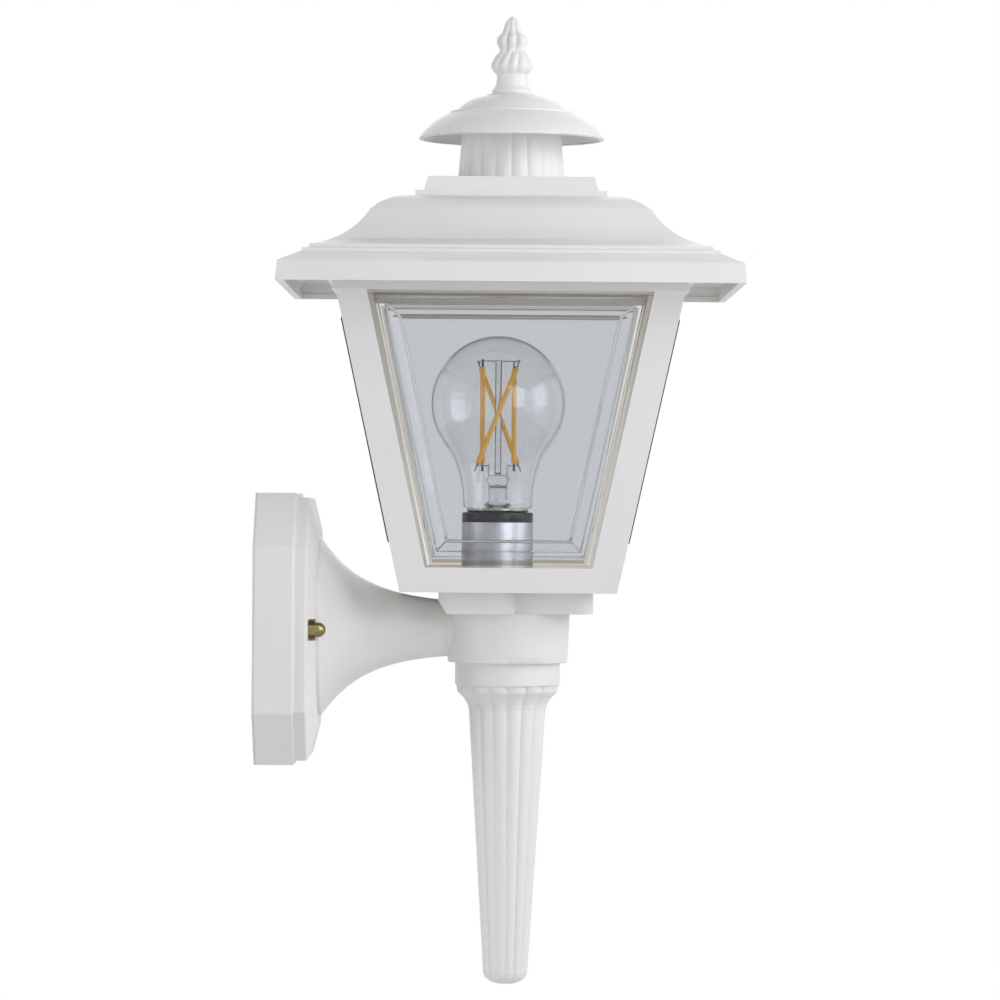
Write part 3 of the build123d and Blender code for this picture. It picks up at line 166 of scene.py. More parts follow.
def make_piece(name, form, material, body, node, sharp=35):
    """Turns a form in millimetres into a smooth piece that stands for a CAD node and moves with its body."""
    bmesh.ops.recalc_face_normals(form, faces=form.faces)
    bmesh.ops.scale(form, vec=(mm, mm, mm), verts=form.verts)
    mesh = bpy.data.meshes.new(name)
    form.to_mesh(mesh)
    form.free()
    mesh.shade_smooth()
    mesh.set_sharp_from_angle(angle=math.radians(sharp))
    mesh.materials.append(material)
    piece = bpy.data.objects.new(name, mesh)
    bpy.context.scene.collection.objects.link(piece)
    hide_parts(node)
    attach(piece, body)
    return piece


def rod_thread(length, radius, pitch, depth, sides=16):
    """Rings of a V-threaded rod along Z from 0, with pointed ends; each ring is a list of points."""
    steps = round(length / pitch * rings_per_thread)
    rings = []
    for step in range(steps + 1):
        along = length * step / steps
        end_room = min(along, length - along)
        ring = []
        for side in range(sides):
            turn = side / sides
            flank = abs(2 * ((along / pitch - turn) % 1) - 1)
            reach = min(radius - depth * flank, radius - depth + end_room)
            ring.append((reach * math.cos(math.tau * turn), reach * math.sin(math.tau * turn), along))
        rings.append(ring)
    return rings


stud_reach = 44.45
stud_length = 30.45
stud_radius = 2.08
stud_pitch = inch / 32
stud_thread_depth = 0.42
stud_form = bmesh.new()
for stud_y in (-stud_reach, stud_reach):
    stud_rings = rod_thread(stud_length, stud_radius, stud_pitch, stud_thread_depth)
    skin(stud_form, [[(z, stud_y + x, y) for x, y, z in ring] for ring in stud_rings])
make_piece("stud_pair", stud_form, zinc, "lantern", "crossbar_studs")

# Backplate: an injection-moulded shell, a clipped square in two tiers with a bevelled front.
# It covers the wall box and is held by the two studs.

# White ABS, injection moulded: a satin skin whose tone drifts slowly where the melt cooled unevenly,
# with a moulded grain of about 0.3 mm, drawn at 0.7 mm.
drift_width = 45
grain_width = 0.7
white_abs, tree, place = new_material("white_abs_injection_moulded")
drift = add_node(tree, "ShaderNodeTexNoise", {
    "Vector": place, "Scale": 1 / (drift_width * mm), "Detail": 2.0})
tint = add_node(tree, "ShaderNodeMix", {
    "Factor": (drift, "Fac"), 6: to_linear("EBE9E4"), 7: to_linear("F1EFEB")}, data_type="RGBA")
satin = add_node(tree, "ShaderNodeMapRange", {"Value": (drift, "Fac"), "To Min": 0.38, "To Max": 0.48})
grain = add_node(tree, "ShaderNodeTexNoise", {
    "Vector": place, "Scale": 1 / (grain_width * mm), "Detail": 3.0})
pebble = add_node(tree, "ShaderNodeBump", {
    "Height": (grain, "Fac"), "Strength": 0.15, "Distance": 0.03 * mm})
shader = add_node(tree, "ShaderNodeBsdfPrincipled", {
    "Base Color": (tint, 2), "Roughness": (satin, "Result"), "IOR": 1.53, "Normal": (pebble, "Normal")})
add_node(tree, "ShaderNodeOutputMaterial", {"Surface": (shader, "BSDF")})
dress("backplate", white_abs, 0.5)

# Cap nuts: two acorn nuts turned from hexagon bar and polished.
# They sit on flat landings cut in the bevel and pull the backplate to the wall.

# Brass, turned and polished: a warm mirror, darkened overall as painted reflection of a dark room, varying
# in clouds about 3 mm wide, with faint polishing marks about 0.15 mm wide, drawn at 0.3 mm.
tone_cloud_width = 3
polish_mark_width = 0.3
brass, tree, place = new_material("brass_polished_painted_dark_reflection")
marks = add_node(tree, "ShaderNodeTexNoise", {
    "Vector": place, "Scale": 1 / (polish_mark_width * mm), "Detail": 2.0})
tone_cloud = add_node(tree, "ShaderNodeTexNoise", {
    "Vector": place, "Scale": 1 / (tone_cloud_width * mm), "Detail": 2.0})
# The darkened brass colours are painted reflection: they stand in for the dark room that polished brass
# mirrors.
tint = add_node(tree, "ShaderNodeMix", {
    "Factor": (tone_cloud, "Fac"), 6: to_linear("78683E"), 7: to_linear("A39569")}, data_type="RGBA")
polish = add_node(tree, "ShaderNodeMapRange", {"Value": (tone_cloud, "Fac"), "To Min": 0.08, "To Max": 0.18})
scratch = add_node(tree, "ShaderNodeBump", {
    "Height": (marks, "Fac"), "Strength": 0.1, "Distance": 0.01 * mm})
shader = add_node(tree, "ShaderNodeBsdfPrincipled", {
    "Base Color": (tint, 2), "Metallic": 1.0, "Roughness": (polish, "Result"), "Normal": (scratch, "Normal")})
add_node(tree, "ShaderNodeOutputMaterial", {"Surface": (shader, "BSDF")})
dress("cap_nuts", brass, 0.25)

# Arm: a hollow moulded trumpet whose flange lies flat on the backplate; the wires run through it.
# Four pan-head screws reach its bosses from behind the plate.
dress("arm", white_abs, 0.4)
dress("arm_screws", zinc, 0.25)

# Hub and saddle: a moulded drum that takes the arm's end, and a stepped block that carries the cage on it.
# Both are clamped by the threaded tube.
dress("hub", white_abs, 0.6)
dress("saddle", white_abs, 1.2)

# Tail: a hollow drop of the same white moulding, with a plain band, a capital and sixteen reeds.
# It is pushed into the hub from below and hides the tube's lower end.
dress("tail", white_abs)

# Threaded tube with two nuts and a washer: it clamps hub, saddle, cage floor and lamp bracket.
# The wires go up through its bore.
dress("nipple", zinc, 0.2)
dress("nipple_nuts", zinc, 0.4)
dress("nipple_washer", zinc, 0.15)

# Cage: one white moulding of four tapered posts with a floor, rails and a rim.
# Grooves behind the posts hold the panels, and the tube clamps its floor to the saddle.
dress("cage", white_abs, 0.5)

# Glazing panels: four clear mouldings with a flat border, a step, a mitred bevel and a field that stands
# proud of the frame. They slide into the cage from above and the roof keeps them in.
lantern_x = 112.0


def pass_light(piece):
    """Lets lamp light through a clear piece, so that what stands behind it is lit as it is in the open."""
    piece.visible_shadow = False
    piece.visible_diffuse = False


# Clear acrylic, injection moulded: smooth, with a slow waviness about 25 mm long from the mould.
# The rim is left clear, so that the shaded frame seen through it reads lighter (painted light); the foot of
# the step is tinted a warm grey as painted shade; and the raised part's faint grey-blue tint is partly the
# acrylic's own, partly painted shade of the lantern's inside seen through it. Its gloss is held back a
# little, because the surround here is brighter than a real room.
mould_wave_length = 25
step_middle_z = 88.4
step_half_height = 57.0
step_half_width = 27.3
step_flare = 0.212
shade_foot_width = 1.5
shade_foot_share_at_ends = 0.62
shade_foot_blur = 0.3
rim_blur = 0.2
acrylic, tree, place = new_material("clear_acrylic_with_painted_shade")
wave = add_node(tree, "ShaderNodeTexNoise", {
    "Vector": place, "Scale": 1 / (mould_wave_length * mm), "Detail": 1.0})
ripple = add_node(tree, "ShaderNodeBump", {"Height": (wave, "Fac"), "Strength": 0.2, "Distance": 0.2 * mm})

# How far a point lies past the step: the step's half width grows by the flare with height, and
# past its ends a distance counts for less, so the painted shade at the foot is wider there.
height = add_node(tree, "ShaderNodeSeparateXYZ", {"Vector": place})
centred = add_node(tree, "ShaderNodeVectorMath", {
    0: place, 1: (lantern_x * mm, 0, step_middle_z * mm)}, operation="SUBTRACT")
mirrored = add_node(tree, "ShaderNodeVectorMath", {0: (centred, "Vector")}, operation="ABSOLUTE")
apart = add_node(tree, "ShaderNodeSeparateXYZ", {"Vector": (mirrored, "Vector")})
sideways = add_node(tree, "ShaderNodeMath", {0: (apart, "X"), 1: (apart, "Y")}, operation="MINIMUM")
upright = add_node(tree, "ShaderNodeMath", {
    0: (height, "Z"), 1: -step_flare, 2: (sideways, "Value")}, operation="MULTIPLY_ADD")
past_sides = add_node(tree, "ShaderNodeMath", {
    0: (upright, "Value"), 1: step_half_width * mm}, operation="SUBTRACT")
past_ends = add_node(tree, "ShaderNodeMath", {
    0: (apart, "Z"), 1: shade_foot_share_at_ends,
    2: -shade_foot_share_at_ends * step_half_height * mm}, operation="MULTIPLY_ADD")
past_step = add_node(tree, "ShaderNodeMath", {
    0: (past_sides, "Value"), 1: (past_ends, "Value")}, operation="MAXIMUM")
in_painted_shade_foot = add_node(tree, "ShaderNodeMapRange", {
    "Value": (past_step, "Value"), "From Min": -shade_foot_blur * mm, "From Max": shade_foot_blur * mm})
in_rim = add_node(tree, "ShaderNodeMapRange", {
    "Value": (past_step, "Value"),
    "From Min": (shade_foot_width - rim_blur) * mm, "From Max": (shade_foot_width + rim_blur) * mm})
# Painted shade: a warm grey band at the step's foot. Painted light: a clear rim, so the shaded frame behind
# reads lighter.
tint = add_node(tree, "ShaderNodeMix", {
    "Factor": (in_painted_shade_foot, "Result"), 6: to_linear("DDDFE2"), 7: to_linear("C8C4BD")}, data_type="RGBA")
tint = add_node(tree, "ShaderNodeMix", {
    "Factor": (in_rim, "Result"), 6: (tint, 2), 7: to_linear("FEFDFB")}, data_type="RGBA")
shader = add_node(tree, "ShaderNodeBsdfPrincipled", {
    "Base Color": (tint, 2), "Roughness": 0.0, "IOR": 1.49, "Transmission Weight": 1.0,
    "Specular Tint": to_linear("A0A0A0"), "Normal": (ripple, "Normal")})
add_node(tree, "ShaderNodeOutputMaterial", {"Surface": (shader, "BSDF")})
for panel in ("panel_front", "panel_outer", "panel_back", "panel_wall_side"):
    dress(panel, acrylic, 0.35)
    pass_light(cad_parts[panel])

# Lamp bracket and its screw: a bent steel strip, zinc plated, that holds the lampholder off centre.
# The tube's upper nut clamps it to the cage floor.
dress("lamp_bracket", zinc, 0.25)
dress("holder_screw", zinc, 0.2)

# Lampholder body: a dark compression moulding with a rim that stops the sleeve.
# One screw from below fixes it to the bracket.

# Black phenolic, compression moulded: glossy, near black, with a fine mottle of its filler, 0.6 mm across.
filler_width = 0.6
phenolic, tree, place = new_material("black_phenolic_compression_moulded")
filler = add_node(tree, "ShaderNodeTexNoise", {
    "Vector": place, "Scale": 1 / (filler_width * mm), "Detail": 3.0})
tint = add_node(tree, "ShaderNodeMix", {
    "Factor": (filler, "Fac"), 6: to_linear("0E0D0F"), 7: to_linear("1A181B")}, data_type="RGBA")
gloss = add_node(tree, "ShaderNodeMapRange", {"Value": (filler, "Fac"), "To Min": 0.22, "To Max": 0.38})
shader = add_node(tree, "ShaderNodeBsdfPrincipled", {
    "Base Color": (tint, 2), "Roughness": (gloss, "Result"), "IOR": 1.6})
add_node(tree, "ShaderNodeOutputMaterial", {"Surface": (shader, "BSDF")})
dress("lampholder_body", phenolic, 0.3)

# Lampholder sleeve: bright foil laminated on card.
# It is rolled around the holder's body and slides up under its rim.

# Aluminium foil, laminated on card: bright but slightly dull, with shallow creases about 5 mm apart.
crease_spacing = 5
foil, tree, place = new_material("aluminium_foil_laminated_on_card")
crease = add_node(tree, "ShaderNodeTexNoise", {
    "Vector": place, "Scale": 1 / (crease_spacing * mm), "Detail": 3.0})
tint = add_node(tree, "ShaderNodeMix", {
    "Factor": (crease, "Fac"), 6: to_linear("B9BBBF"), 7: to_linear("DADBDC")}, data_type="RGBA")
buckle = add_node(tree, "ShaderNodeBump", {
    "Height": (crease, "Fac"), "Strength": 0.35, "Distance": 0.15 * mm})
shader = add_node(tree, "ShaderNodeBsdfPrincipled", {
    "Base Color": (tint, 2), "Metallic": 1.0, "Roughness": 0.42, "Normal": (buckle, "Normal")})
add_node(tree, "ShaderNodeOutputMaterial", {"Surface": (shader, "BSDF")})
dress("lampholder_sleeve", foil, 0.1)

# Screw shell and tongue: thin brass sheet with a rolled round thread, and a sprung strip that the lamp's
# contact presses on. Both sit in the lampholder's bore.
lamp_x = 107.0
lamp_sides = 72
lamp_pitch = inch / 7
lamp_thread_depth = 0.8
lamp_thread_fade = 1.2
lamp_ring_spacing = 0.3


def rolled_wall(outline, thickness, thread_foot, thread_head):
    """Rings of a thin turned wall on the lamp's axis, with a round thread rolled in between two heights."""
    wall = []
    for radius, z in outline:
        end_room = min((z - thread_foot) / lamp_thread_fade, (thread_head - z) / lamp_thread_fade)
        wall.append((radius, z, lamp_thread_depth * max(0.0, min(1.0, end_room))))
    wall += [(radius - thickness, z, dip) for radius, z, dip in reversed(wall)]
    rings = []
    for radius, z, dip in wall:
        ring = []
        for side in range(lamp_sides):
            turn = side / lamp_sides
            reach = radius - dip * (0.5 - 0.5 * math.cos(math.tau * (z / lamp_pitch - turn)))
            ring.append((lamp_x + reach * math.cos(math.tau * turn), reach * math.sin(math.tau * turn), z))
        rings.append(ring)
    return rings


shell_radius = 13.8
shell_wall = 0.4
shell_foot_z = 31.0
shell_ring_count = 66
shell_thread_foot_z = 31.5
shell_thread_head_z = 50.3
shell_outline = [(shell_radius, shell_foot_z + lamp_ring_spacing * step) for step in range(shell_ring_count)]
shell_form = bmesh.new()
shell_rings = rolled_wall(shell_outline, shell_wall, shell_thread_foot_z, shell_thread_head_z)
skin(shell_form, shell_rings, loop=True)
make_piece("threaded_shell", shell_form, brass, "lantern", "screw_shell", 60)
dress("contact_tongue", brass, 0.1)

# Lamp contact and insulator: a solder button in a dark moulded cone.
# They close the foot of the lamp's cap.

# Solder, flowed: dull silver, with a fine frosted grain about 0.4 mm across where it set.
frost_width = 0.4
solder, tree, place = new_material("solder_flowed")
frost = add_node(tree, "ShaderNodeTexNoise", {
    "Vector": place, "Scale": 1 / (frost_width * mm), "Detail": 2.0})
set_grain = add_node(tree, "ShaderNodeBump", {
    "Height": (frost, "Fac"), "Strength": 0.3, "Distance": 0.05 * mm})
shader = add_node(tree, "ShaderNodeBsdfPrincipled", {
    "Base Color": to_linear("B9BBBE"), "Metallic": 1.0, "Roughness": 0.4, "Normal": (set_grain, "Normal")})
add_node(tree, "ShaderNodeOutputMaterial", {"Surface": (shader, "BSDF")})
dress("bulb_contact", solder)
dress("bulb_insulator", phenolic, 0.3)

# Lamp cap and driver: thin nickel-plated brass with the same rolled thread as the shell, and a collar that
# the glass is cemented into. A small circuit board stands inside it.

# Nickel plate over brass, rolled: warm grey, with a soft drawn haze about 2 mm wide.
haze_width = 2
nickel, tree, place = new_material("nickel_plate_rolled")
drawn = add_node(tree, "ShaderNodeTexNoise", {
    "Vector": place, "Scale": 1 / (haze_width * mm), "Detail": 2.0})
tint = add_node(tree, "ShaderNodeMix", {
    "Factor": (drawn, "Fac"), 6: to_linear("ADA698"), 7: to_linear("C9C3B6")}, data_type="RGBA")
haze = add_node(tree, "ShaderNodeMapRange", {"Value": (drawn, "Fac"), "To Min": 0.2, "To Max": 0.34})
shader = add_node(tree, "ShaderNodeBsdfPrincipled", {
    "Base Color": (tint, 2), "Metallic": 1.0, "Roughness": (haze, "Result")})
add_node(tree, "ShaderNodeOutputMaterial", {"Surface": (shader, "BSDF")})
cap_radius = 13.1
cap_wall = 0.5
cap_side_foot_z = 39.0
cap_ring_count = 45
cap_thread_foot_z = 38.8
cap_thread_head_z = 51.8
cap_outline = [(10.5, 36.4), (11.4, 36.9), (12.3, 37.7), (12.9, 38.5)]
cap_outline += [(cap_radius, cap_side_foot_z + lamp_ring_spacing * step) for step in range(cap_ring_count)]
cap_outline += [(13.25, 52.5), (13.65, 52.75), (13.9, 53.0), (13.9, 53.7), (13.8, 53.9)]
cap_form = bmesh.new()
skin(cap_form, rolled_wall(cap_outline, cap_wall, cap_thread_foot_z, cap_thread_head_z), loop=True)
make_piece("screw_cap", cap_form, nickel, "bulb", "bulb_cap", 60)

# Glass-fibre board, etched and masked: green lacquer over a faint weave of about 0.5 mm.
weave_width = 0.5
board, tree, place = new_material("glass_fibre_board_masked")
weave = add_node(tree, "ShaderNodeTexChecker", {
    "Vector": place, "Scale": 1 / (weave_width * mm),
    "Color1": to_linear("2A583A"), "Color2": to_linear("326542")})
shader = add_node(tree, "ShaderNodeBsdfPrincipled", {
    "Base Color": (weave, "Color"), "Roughness": 0.35, "IOR": 1.55})
add_node(tree, "ShaderNodeOutputMaterial", {"Surface": (shader, "BSDF")})
dress("bulb_driver", board, 0.1)

# Lamp glass: a clear blown globe on a narrow neck, less than a millimetre thick.
# Its foot is cemented into the cap's collar.


def fair_outline(stations):
    """Points of a smooth outline through stations: each a point, a direction and the steps up to it."""
    outline = [stations[0][0]]
    for (start, leaving, _), (end, arriving, steps) in zip(stations, stations[1:]):
        reach = math.dist(start, end)
        for step in range(1, steps + 1):
            t = step / steps
            outline.append(tuple(
                (2 * t**3 - 3 * t**2 + 1) * a + (t**3 - 2 * t**2 + t) * reach * b
                + (3 * t**2 - 2 * t**3) * c + (t**3 - t**2) * reach * d
                for a, b, c, d in zip(start, leaving, end, arriving)))
    return outline


def lathe(form, outline, sides):
    """Turns a half section about the lamp's axis and closes its two ends."""
    angles = [math.tau * side / sides for side in range(sides)]
    skin(form, [[(lamp_x + r * math.cos(a), r * math.sin(a), z) for a in angles] for r, z in outline])


# Soda-lime glass, blown: clear and smooth, with a very faint waviness about 18 mm long.
blown_wave_length = 18
lamp_glass, tree, place = new_material("soda_lime_glass_blown")
wave = add_node(tree, "ShaderNodeTexNoise", {
    "Vector": place, "Scale": 1 / (blown_wave_length * mm), "Detail": 1.0})
ripple = add_node(tree, "ShaderNodeBump", {"Height": (wave, "Fac"), "Strength": 0.1, "Distance": 0.1 * mm})
shader = add_node(tree, "ShaderNodeBsdfPrincipled", {
    "Base Color": to_linear("FBFCFC"), "Roughness": 0.0, "IOR": 1.52, "Transmission Weight": 1.0,
    "Normal": (ripple, "Normal")})
add_node(tree, "ShaderNodeOutputMaterial", {"Surface": (shader, "BSDF")})
globe_radius = 30.3
globe_z = 101.4
globe_sides = 96
glass_wall = 0.8
blend_dip = math.radians(36)
crown_rise = math.radians(89.6)
crown_steps = 32


def globe_outline(wall):
    """Half section of the globe's skin from its foot to its crown, thinned by a wall."""
    ball = globe_radius - wall
    blend = (ball * math.cos(blend_dip), globe_z - ball * math.sin(blend_dip))
    outline = [(13.3 - wall, 52.9), (13.3 - wall, 53.9), (14.5 - wall, 54.2), (15.4 - wall, 54.7)]
    outline += fair_outline([
        ((15.8 - wall, 55.4), (0, 1), 0),
        ((18.6 - wall, 73.0), (0.33, 0.94), 10),
        (blend, (math.sin(blend_dip), math.cos(blend_dip)), 8),
    ])
    for step in range(1, crown_steps + 1):
        rise = -blend_dip + (crown_rise + blend_dip) * step / crown_steps
        outline.append((ball * math.cos(rise), globe_z + ball * math.sin(rise)))
    return outline


globe_form = bmesh.new()
lathe(globe_form, globe_outline(0)[::-1] + globe_outline(glass_wall), globe_sides)
pass_light(make_piece("glass_globe", globe_form, lamp_glass, "bulb", "bulb_glass", 50))

# Lamp stem: a flared glass tube, pinched to a bead at its top, with a solid glass rod for the filaments.
# Its flare is fused to the globe's foot.
stem_sides = 40
stem_outline = [(12.4, 52.9)] + fair_outline([
    ((12.4, 53.9), (-0.7, 0.7), 0),
    ((4.9, 57.3), (-0.15, 0.98), 6),
    ((4.4, 63.6), (0, 1), 4),
    ((5.4, 67.0), (0, 1), 5),
    ((3.8, 69.0), (-1, 0.2), 5),
    ((1.45, 70.0), (-0.2, 1), 4),
]) + [(1.45, 120.5), (1.2, 120.8), (0.3, 120.9)]
stem_bore = [(11.2, 52.9)] + fair_outline([
    ((11.2, 53.6), (-0.7, 0.7), 0),
    ((3.9, 57.0), (-0.15, 0.98), 6),
    ((3.4, 63.2), (0, 1), 4),
]) + [(3.0, 64.4), (1.8, 65.2), (0.3, 65.5)]
stem_form = bmesh.new()
lathe(stem_form, stem_bore[::-1] + stem_outline, stem_sides)
pass_light(make_piece("glass_stem", stem_form, lamp_glass, "bulb", "bulb_stem", 50))

# Filaments: four thin sapphire strips set with light chips and coated with phosphor in silicone.
# They lean around the rod, and short metal tips end them.
strand_count = 4
strand_sides = 12
strand_steps = 140
strand_foot_z = 75.4
strand_head_z = 118.4
strand_circle = 11.15
strand_twist = math.radians(101)
coat_foot_z = 74.3
coat_head_z = 117.4
coat_radius = 1.15
coat_end_share = 0.6
coat_blur = 0.1
bead_length = 1.6
bead_depth = 0.07
tip_foot_z = 71.0
tip_head_z = 120.8
tip_half_width = 0.5
tip_half_thickness = 0.25

# Phosphor-filled silicone, dispensed: matt amber, beaded about every 1.6 mm over the chips and clumped
# about every 0.8 mm, with bare metal tips.
clump_width = 0.8
amber, tree, place = new_material("phosphor_silicone_dispensed")
height = add_node(tree, "ShaderNodeSeparateXYZ", {"Vector": place})
foot_tip = add_node(tree, "ShaderNodeMapRange", {
    "Value": (height, "Z"),
    "From Min": (coat_foot_z + coat_blur) * mm, "From Max": (coat_foot_z - coat_blur) * mm})
head_tip = add_node(tree, "ShaderNodeMapRange", {
    "Value": (height, "Z"),
    "From Min": (coat_head_z - coat_blur) * mm, "From Max": (coat_head_z + coat_blur) * mm})
tips = add_node(tree, "ShaderNodeMath", {0: (foot_tip, "Result"), 1: (head_tip, "Result")}, operation="ADD")
clumps = add_node(tree, "ShaderNodeTexNoise", {
    "Vector": place, "Scale": 1 / (clump_width * mm), "Detail": 2.0})
coat = add_node(tree, "ShaderNodeMix", {
    "Factor": (clumps, "Fac"), 6: to_linear("F8AC1E"), 7: to_linear("FFD058")}, data_type="RGBA")
tint = add_node(tree, "ShaderNodeMix", {
    "Factor": (tips, "Value"), 6: (coat, 2), 7: to_linear("3A3733")}, data_type="RGBA")
shader = add_node(tree, "ShaderNodeBsdfPrincipled", {
    "Base Color": (tint, 2), "Roughness": 0.55, "IOR": 1.41})
add_node(tree, "ShaderNodeOutputMaterial", {"Surface": (shader, "BSDF")})


def strand_end(angle, z):
    """The middle of a filament's end, on the circle around the rod."""
    return Vector((lamp_x + strand_circle * math.cos(angle), strand_circle * math.sin(angle), z))


strand_form = bmesh.new()
for strand in range(strand_count):
    middle = strand * math.tau / strand_count
    foot = strand_end(middle - strand_twist / 2, strand_foot_z)
    head = strand_end(middle + strand_twist / 2, strand_head_z)
    along = (head - foot).normalized()
    across = along.cross(Vector((0, 0, 1))).normalized()
    upward = across.cross(along)
    strand_rings = []
    for step in range(strand_steps + 1):
        z = tip_foot_z + (tip_head_z - tip_foot_z) * step / strand_steps
        middle_point = foot + along * (z - strand_foot_z) / along.z
        end_room = min(z - coat_foot_z, coat_head_z - z)
        if end_room > 0:
            bead = bead_depth * abs(math.sin(math.pi * z / bead_length))
            wide = thick = coat_radius * min(1.0, coat_end_share + end_room) - bead
        else:
            wide = tip_half_width
            thick = tip_half_thickness
        ring = []
        for side in range(strand_sides):
            turn = math.tau * side / strand_sides
            ring.append(middle_point + across * wide * math.cos(turn) + upward * thick * math.sin(turn))
        strand_rings.append(ring)
    skin(strand_form, strand_rings)
make_piece("filament_strands", strand_form, amber, "bulb", "bulb_filaments")

# Lead wires: thin nickel wires across each pair of filament ends.
# They are welded to the tips and fused into the rod and the stem.
dress("bulb_leads", nickel)

# Roof: one square white moulding with a short skirt, a swept slope, a ledge and a plinth.
# It pushes down over the cage's rim and lifts off for a new lamp.
dress("roof", white_abs, 0.6)

# Chimney: a reeded tube of the same white moulding.
# It stands on the plinth and carries the hood.
dress("chimney", white_abs)

# Hood: a round white moulding with a stepped crown that keeps rain out.
# It sits on the chimney and is clamped by the finial.
dress("hood", white_abs, 0.4)

# Finial: a small hollow moulding in the shape of a flame, with three tiers of lobes that lean as they rise.
# It screws down over the stud and holds hood and chimney.
finial_outline = [
    (8.4, 240.0), (8.9, 240.4), (9.05, 241.2), (8.95, 242.0), (8.3, 242.8), (7.75, 243.4), (7.35, 244.6),
    (7.05, 246.0), (6.85, 247.4), (6.95, 247.9), (7.0, 248.4), (6.9, 248.8), (7.3, 249.3), (8.1, 250.2),
    (8.9, 251.2), (9.35, 252.3), (9.45, 253.2), (9.25, 254.2), (8.8, 255.2), (8.2, 256.3), (7.5, 257.4),
    (6.75, 258.5), (6.0, 259.5), (5.65, 260.2), (5.8, 260.9), (6.35, 261.9), (6.85, 262.9), (7.0, 263.9),
    (6.95, 264.9), (6.6, 265.9), (5.9, 266.8), (5.1, 267.5), (4.5, 268.2), (4.1, 269.2), (3.85, 270.3),
    (3.5, 271.4), (3.05, 272.5), (2.4, 273.6), (1.6, 274.6), (0.7, 275.2), (0.2, 275.4),
]
finial_tiers = [
    {"foot_z": 248.9, "head_z": 261.0, "lobes": 12, "depth": 0.13, "power": 1.0, "lean": 1, "turned": 0.0},
    {"foot_z": 258.6, "head_z": 268.6, "lobes": 8, "depth": 0.34, "power": 1.2, "lean": 1, "turned": 0.38},
    {"foot_z": 266.4, "head_z": 275.4, "lobes": 8, "depth": 0.2, "power": 1.0, "lean": 0, "turned": 0.0},
]
finial_sides = 144
finial_substeps = 3
lean_angle = 0.38
lean_foot_z = 251.0
lean_height = 11.0
lean_power = 1.5


def lobed_ring(radius, z):
    """One ring of the finial: grooves between the lobes of each tier cut into a round of this radius."""
    lean = lean_angle * max(0.0, min(1.0, (z - lean_foot_z) / lean_height)) ** lean_power
    ring = []
    for side in range(finial_sides):
        turn = math.tau * side / finial_sides
        groove = 0.0
        for tier in finial_tiers:
            along = max(0.0, min(1.0, (z - tier["foot_z"]) / (tier["head_z"] - tier["foot_z"])))
            swell = math.sin(math.pi * along) ** 0.5
            lobe = abs(math.cos(tier["lobes"] / 2 * (turn - lean * tier["lean"] + tier["turned"])))
            groove += tier["depth"] * swell * (1 - lobe) ** tier["power"]
        reach = radius * (1 - groove)
        ring.append((lantern_x + reach * math.cos(turn), reach * math.sin(turn), z))
    return ring


finial_rings = []
for (low_r, low_z), (high_r, high_z) in zip(finial_outline, finial_outline[1:]):
    for step in range(finial_substeps):
        share = step / finial_substeps
        finial_rings.append(lobed_ring(low_r + (high_r - low_r) * share, low_z + (high_z - low_z) * share))
finial_rings.append(lobed_ring(*finial_outline[-1]))
finial_form = bmesh.new()
skin(finial_form, finial_rings)
make_piece("flame_finial", finial_form, white_abs, "roof", "finial", 60)

# Clamp bar, stud and nut: a zinc-plated steel strip with a nut on it, under the plinth, and a number 10 rod
# with 24 threads to the inch that pulls the finial down on the hood.
dress("clamp_bar", zinc, 0.25)
dress("finial_stud_nut", zinc, 0.35)
rod_foot_z = 192.6
rod_length = 58.4
rod_radius = 2.4
rod_pitch = inch / 24
rod_thread_depth = 0.5
rod_rings = rod_thread(rod_length, rod_radius, rod_pitch, rod_thread_depth)
rod_form = bmesh.new()
skin(rod_form, [[(lantern_x + x, y, rod_foot_z + z) for x, y, z in ring] for ring in rod_rings])
make_piece("threaded_rod", rod_form, zinc, "roof", "finial_stud")

# Studio: a pale round floor well below the wall light, a softbox on each side, one in front, one above it
# and a weak one behind. All face the roof, so the pieces shade softly downwards and towards the wall.
camera_x = 108.06
camera_z = 57.8
camera_distance = 2150
camera_roll = math.radians(0.45)
camera_data = bpy.data.cameras.new("camera")
camera_data.sensor_width = 36.0
camera_data.lens = 172.0
camera_data.clip_end = 100.0
camera = bpy.data.objects.new("camera", camera_data)
camera_place = Matrix.Translation((camera_x * mm, -camera_distance * mm, camera_z * mm))
camera_level = Matrix.Rotation(math.radians(90), 4, "X")
camera.matrix_world = camera_place @ camera_level @ Matrix.Rotation(camera_roll, 4, "Z")
bpy.context.scene.collection.objects.link(camera)
bpy.context.scene.camera = camera

cool_white = "F7F8FF"
softboxes = {
    "softbox_right": {
        "direction": (0.95, -0.26, 0.20), "size": (0.62, 0.72), "power": 3.1, "colour": cool_white},
    "softbox_high": {
        "direction": (0.42, -0.72, 0.55), "size": (0.45, 0.45), "power": 1.5, "colour": cool_white},
    "softbox_front": {
        "direction": (0.56, -0.82, 0.08), "size": (0.32, 0.56), "power": 2.15, "colour": cool_white},
    "softbox_left": {
        "direction": (-0.92, -0.34, -0.20), "size": (0.68, 0.68), "power": 2.35, "colour": "F4F7FF"},
    "softbox_back": {
        "direction": (-0.10, 0.94, 0.32), "size": (0.70, 0.70), "power": 1.7, "colour": cool_white},
}
light_distance = 0.9
light_target_z = 200
light_target = Vector((lantern_x * mm, 0, light_target_z * mm))
for name, box in softboxes.items():
    light_data = bpy.data.lights.new(name, "AREA")
    light_data.shape = "RECTANGLE"
    light_data.size, light_data.size_y = box["size"]
    light_data.energy = box["power"]
    light_data.color = to_linear(box["colour"])[:3]
    light = bpy.data.objects.new(name, light_data)
    towards = Vector(box["direction"]).normalized()
    light.location = light_target + towards * light_distance
    light.rotation_euler = towards.to_track_quat("Z", "Y").to_euler()
    light.visible_camera = False
    light.visible_transmission = name != "softbox_back"
    bpy.context.scene.collection.objects.link(light)

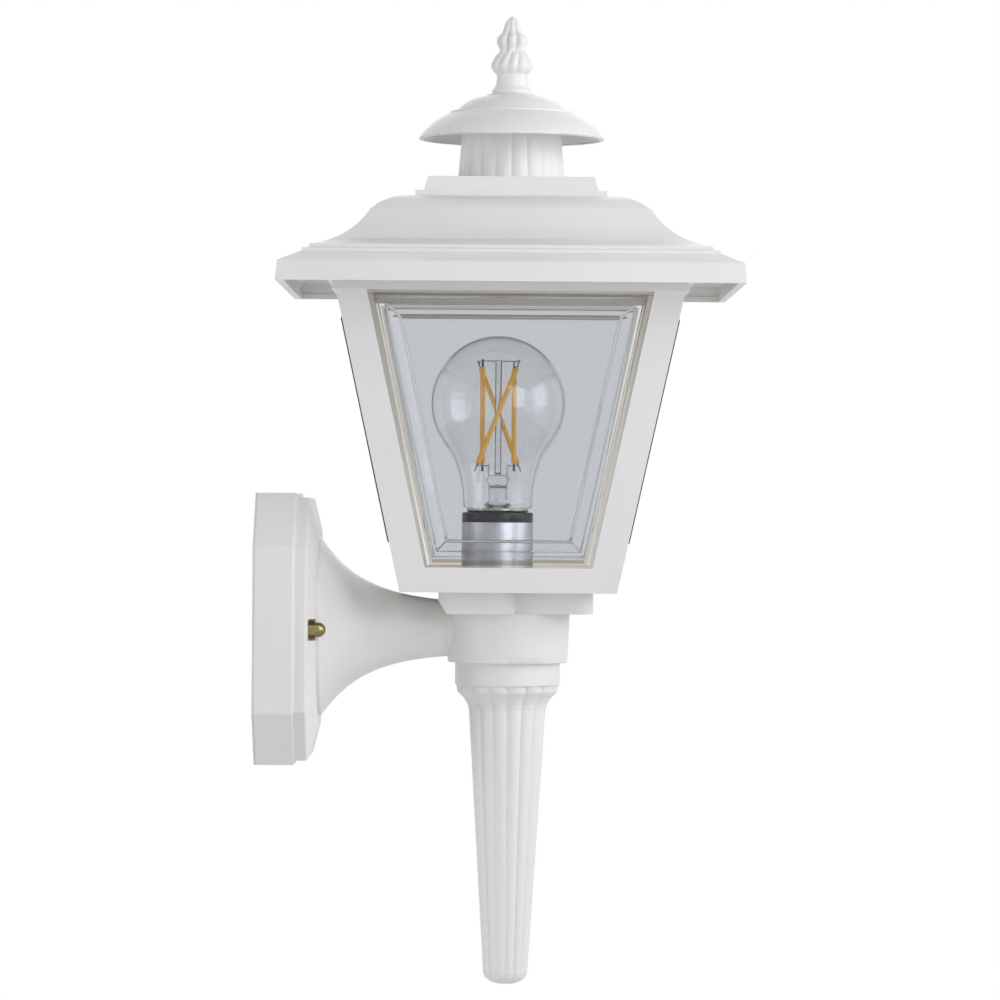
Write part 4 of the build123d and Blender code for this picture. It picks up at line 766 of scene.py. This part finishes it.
# The surround is plain white to the eye, in gloss and through glass, and lights the pieces at a lower level.
surround_level = 0.38
world = bpy.data.worlds.new("studio_surround")
world.use_nodes = True
tree = world.node_tree
tree.nodes.clear()
ray = add_node(tree, "ShaderNodeLightPath")
seen = add_node(tree, "ShaderNodeMath", {
    0: (ray, "Is Camera Ray"), 1: (ray, "Is Glossy Ray")}, operation="ADD", use_clamp=True)
seen = add_node(tree, "ShaderNodeMath", {
    0: (seen, "Value"), 1: (ray, "Is Transmission Ray")}, operation="ADD", use_clamp=True)
level = add_node(tree, "ShaderNodeMapRange", {
    "Value": (seen, "Value"), "To Min": surround_level, "To Max": 1.0})
cast = add_node(tree, "ShaderNodeMix", {
    "Factor": (seen, "Value"), 6: to_linear(cool_white), 7: to_linear("FFFFFF")}, data_type="RGBA")
surround = add_node(tree, "ShaderNodeBackground", {"Color": (cast, 2), "Strength": (level, "Result")})
add_node(tree, "ShaderNodeOutputWorld", {"Surface": (surround, "Background")})
bpy.context.scene.world = world

# Matt studio paper: pale grey-white with a faint tooth of about 2 mm, fading out towards its rim so that
# no edge shows.
tooth_width = 2
floor_z = -420
floor_radius = 1.25
floor_sides = 96
fade_start = 0.45
fade_end = 1.2
paper, tree, place = new_material("studio_paper_matt")
tooth = add_node(tree, "ShaderNodeTexNoise", {
    "Vector": place, "Scale": 1 / (tooth_width * mm), "Detail": 2.0})
tint = add_node(tree, "ShaderNodeMix", {
    "Factor": (tooth, "Fac"), 6: to_linear("F2F2F1"), 7: to_linear("FAFAF9")}, data_type="RGBA")
away = add_node(tree, "ShaderNodeVectorMath", {0: place}, operation="LENGTH")
fade = add_node(tree, "ShaderNodeMapRange", {
    "Value": (away, "Value"), "From Min": fade_start, "From Max": fade_end, "To Min": 1.0, "To Max": 0.0},
    interpolation_type="SMOOTHSTEP")
shader = add_node(tree, "ShaderNodeBsdfPrincipled", {
    "Base Color": (tint, 2), "Roughness": 0.8, "IOR": 1.5, "Alpha": (fade, "Result")})
add_node(tree, "ShaderNodeOutputMaterial", {"Surface": (shader, "BSDF")})
floor_form = bmesh.new()
bmesh.ops.create_circle(floor_form, cap_ends=True, segments=floor_sides, radius=floor_radius)
floor_mesh = bpy.data.meshes.new("studio_floor")
floor_form.to_mesh(floor_mesh)
floor_form.free()
floor_mesh.materials.append(paper)
floor = bpy.data.objects.new("studio_floor", floor_mesh)
floor.location = (lantern_x * mm, 0, floor_z * mm)
bpy.context.scene.collection.objects.link(floor)

bpy.context.scene.view_settings.view_transform = "Standard"
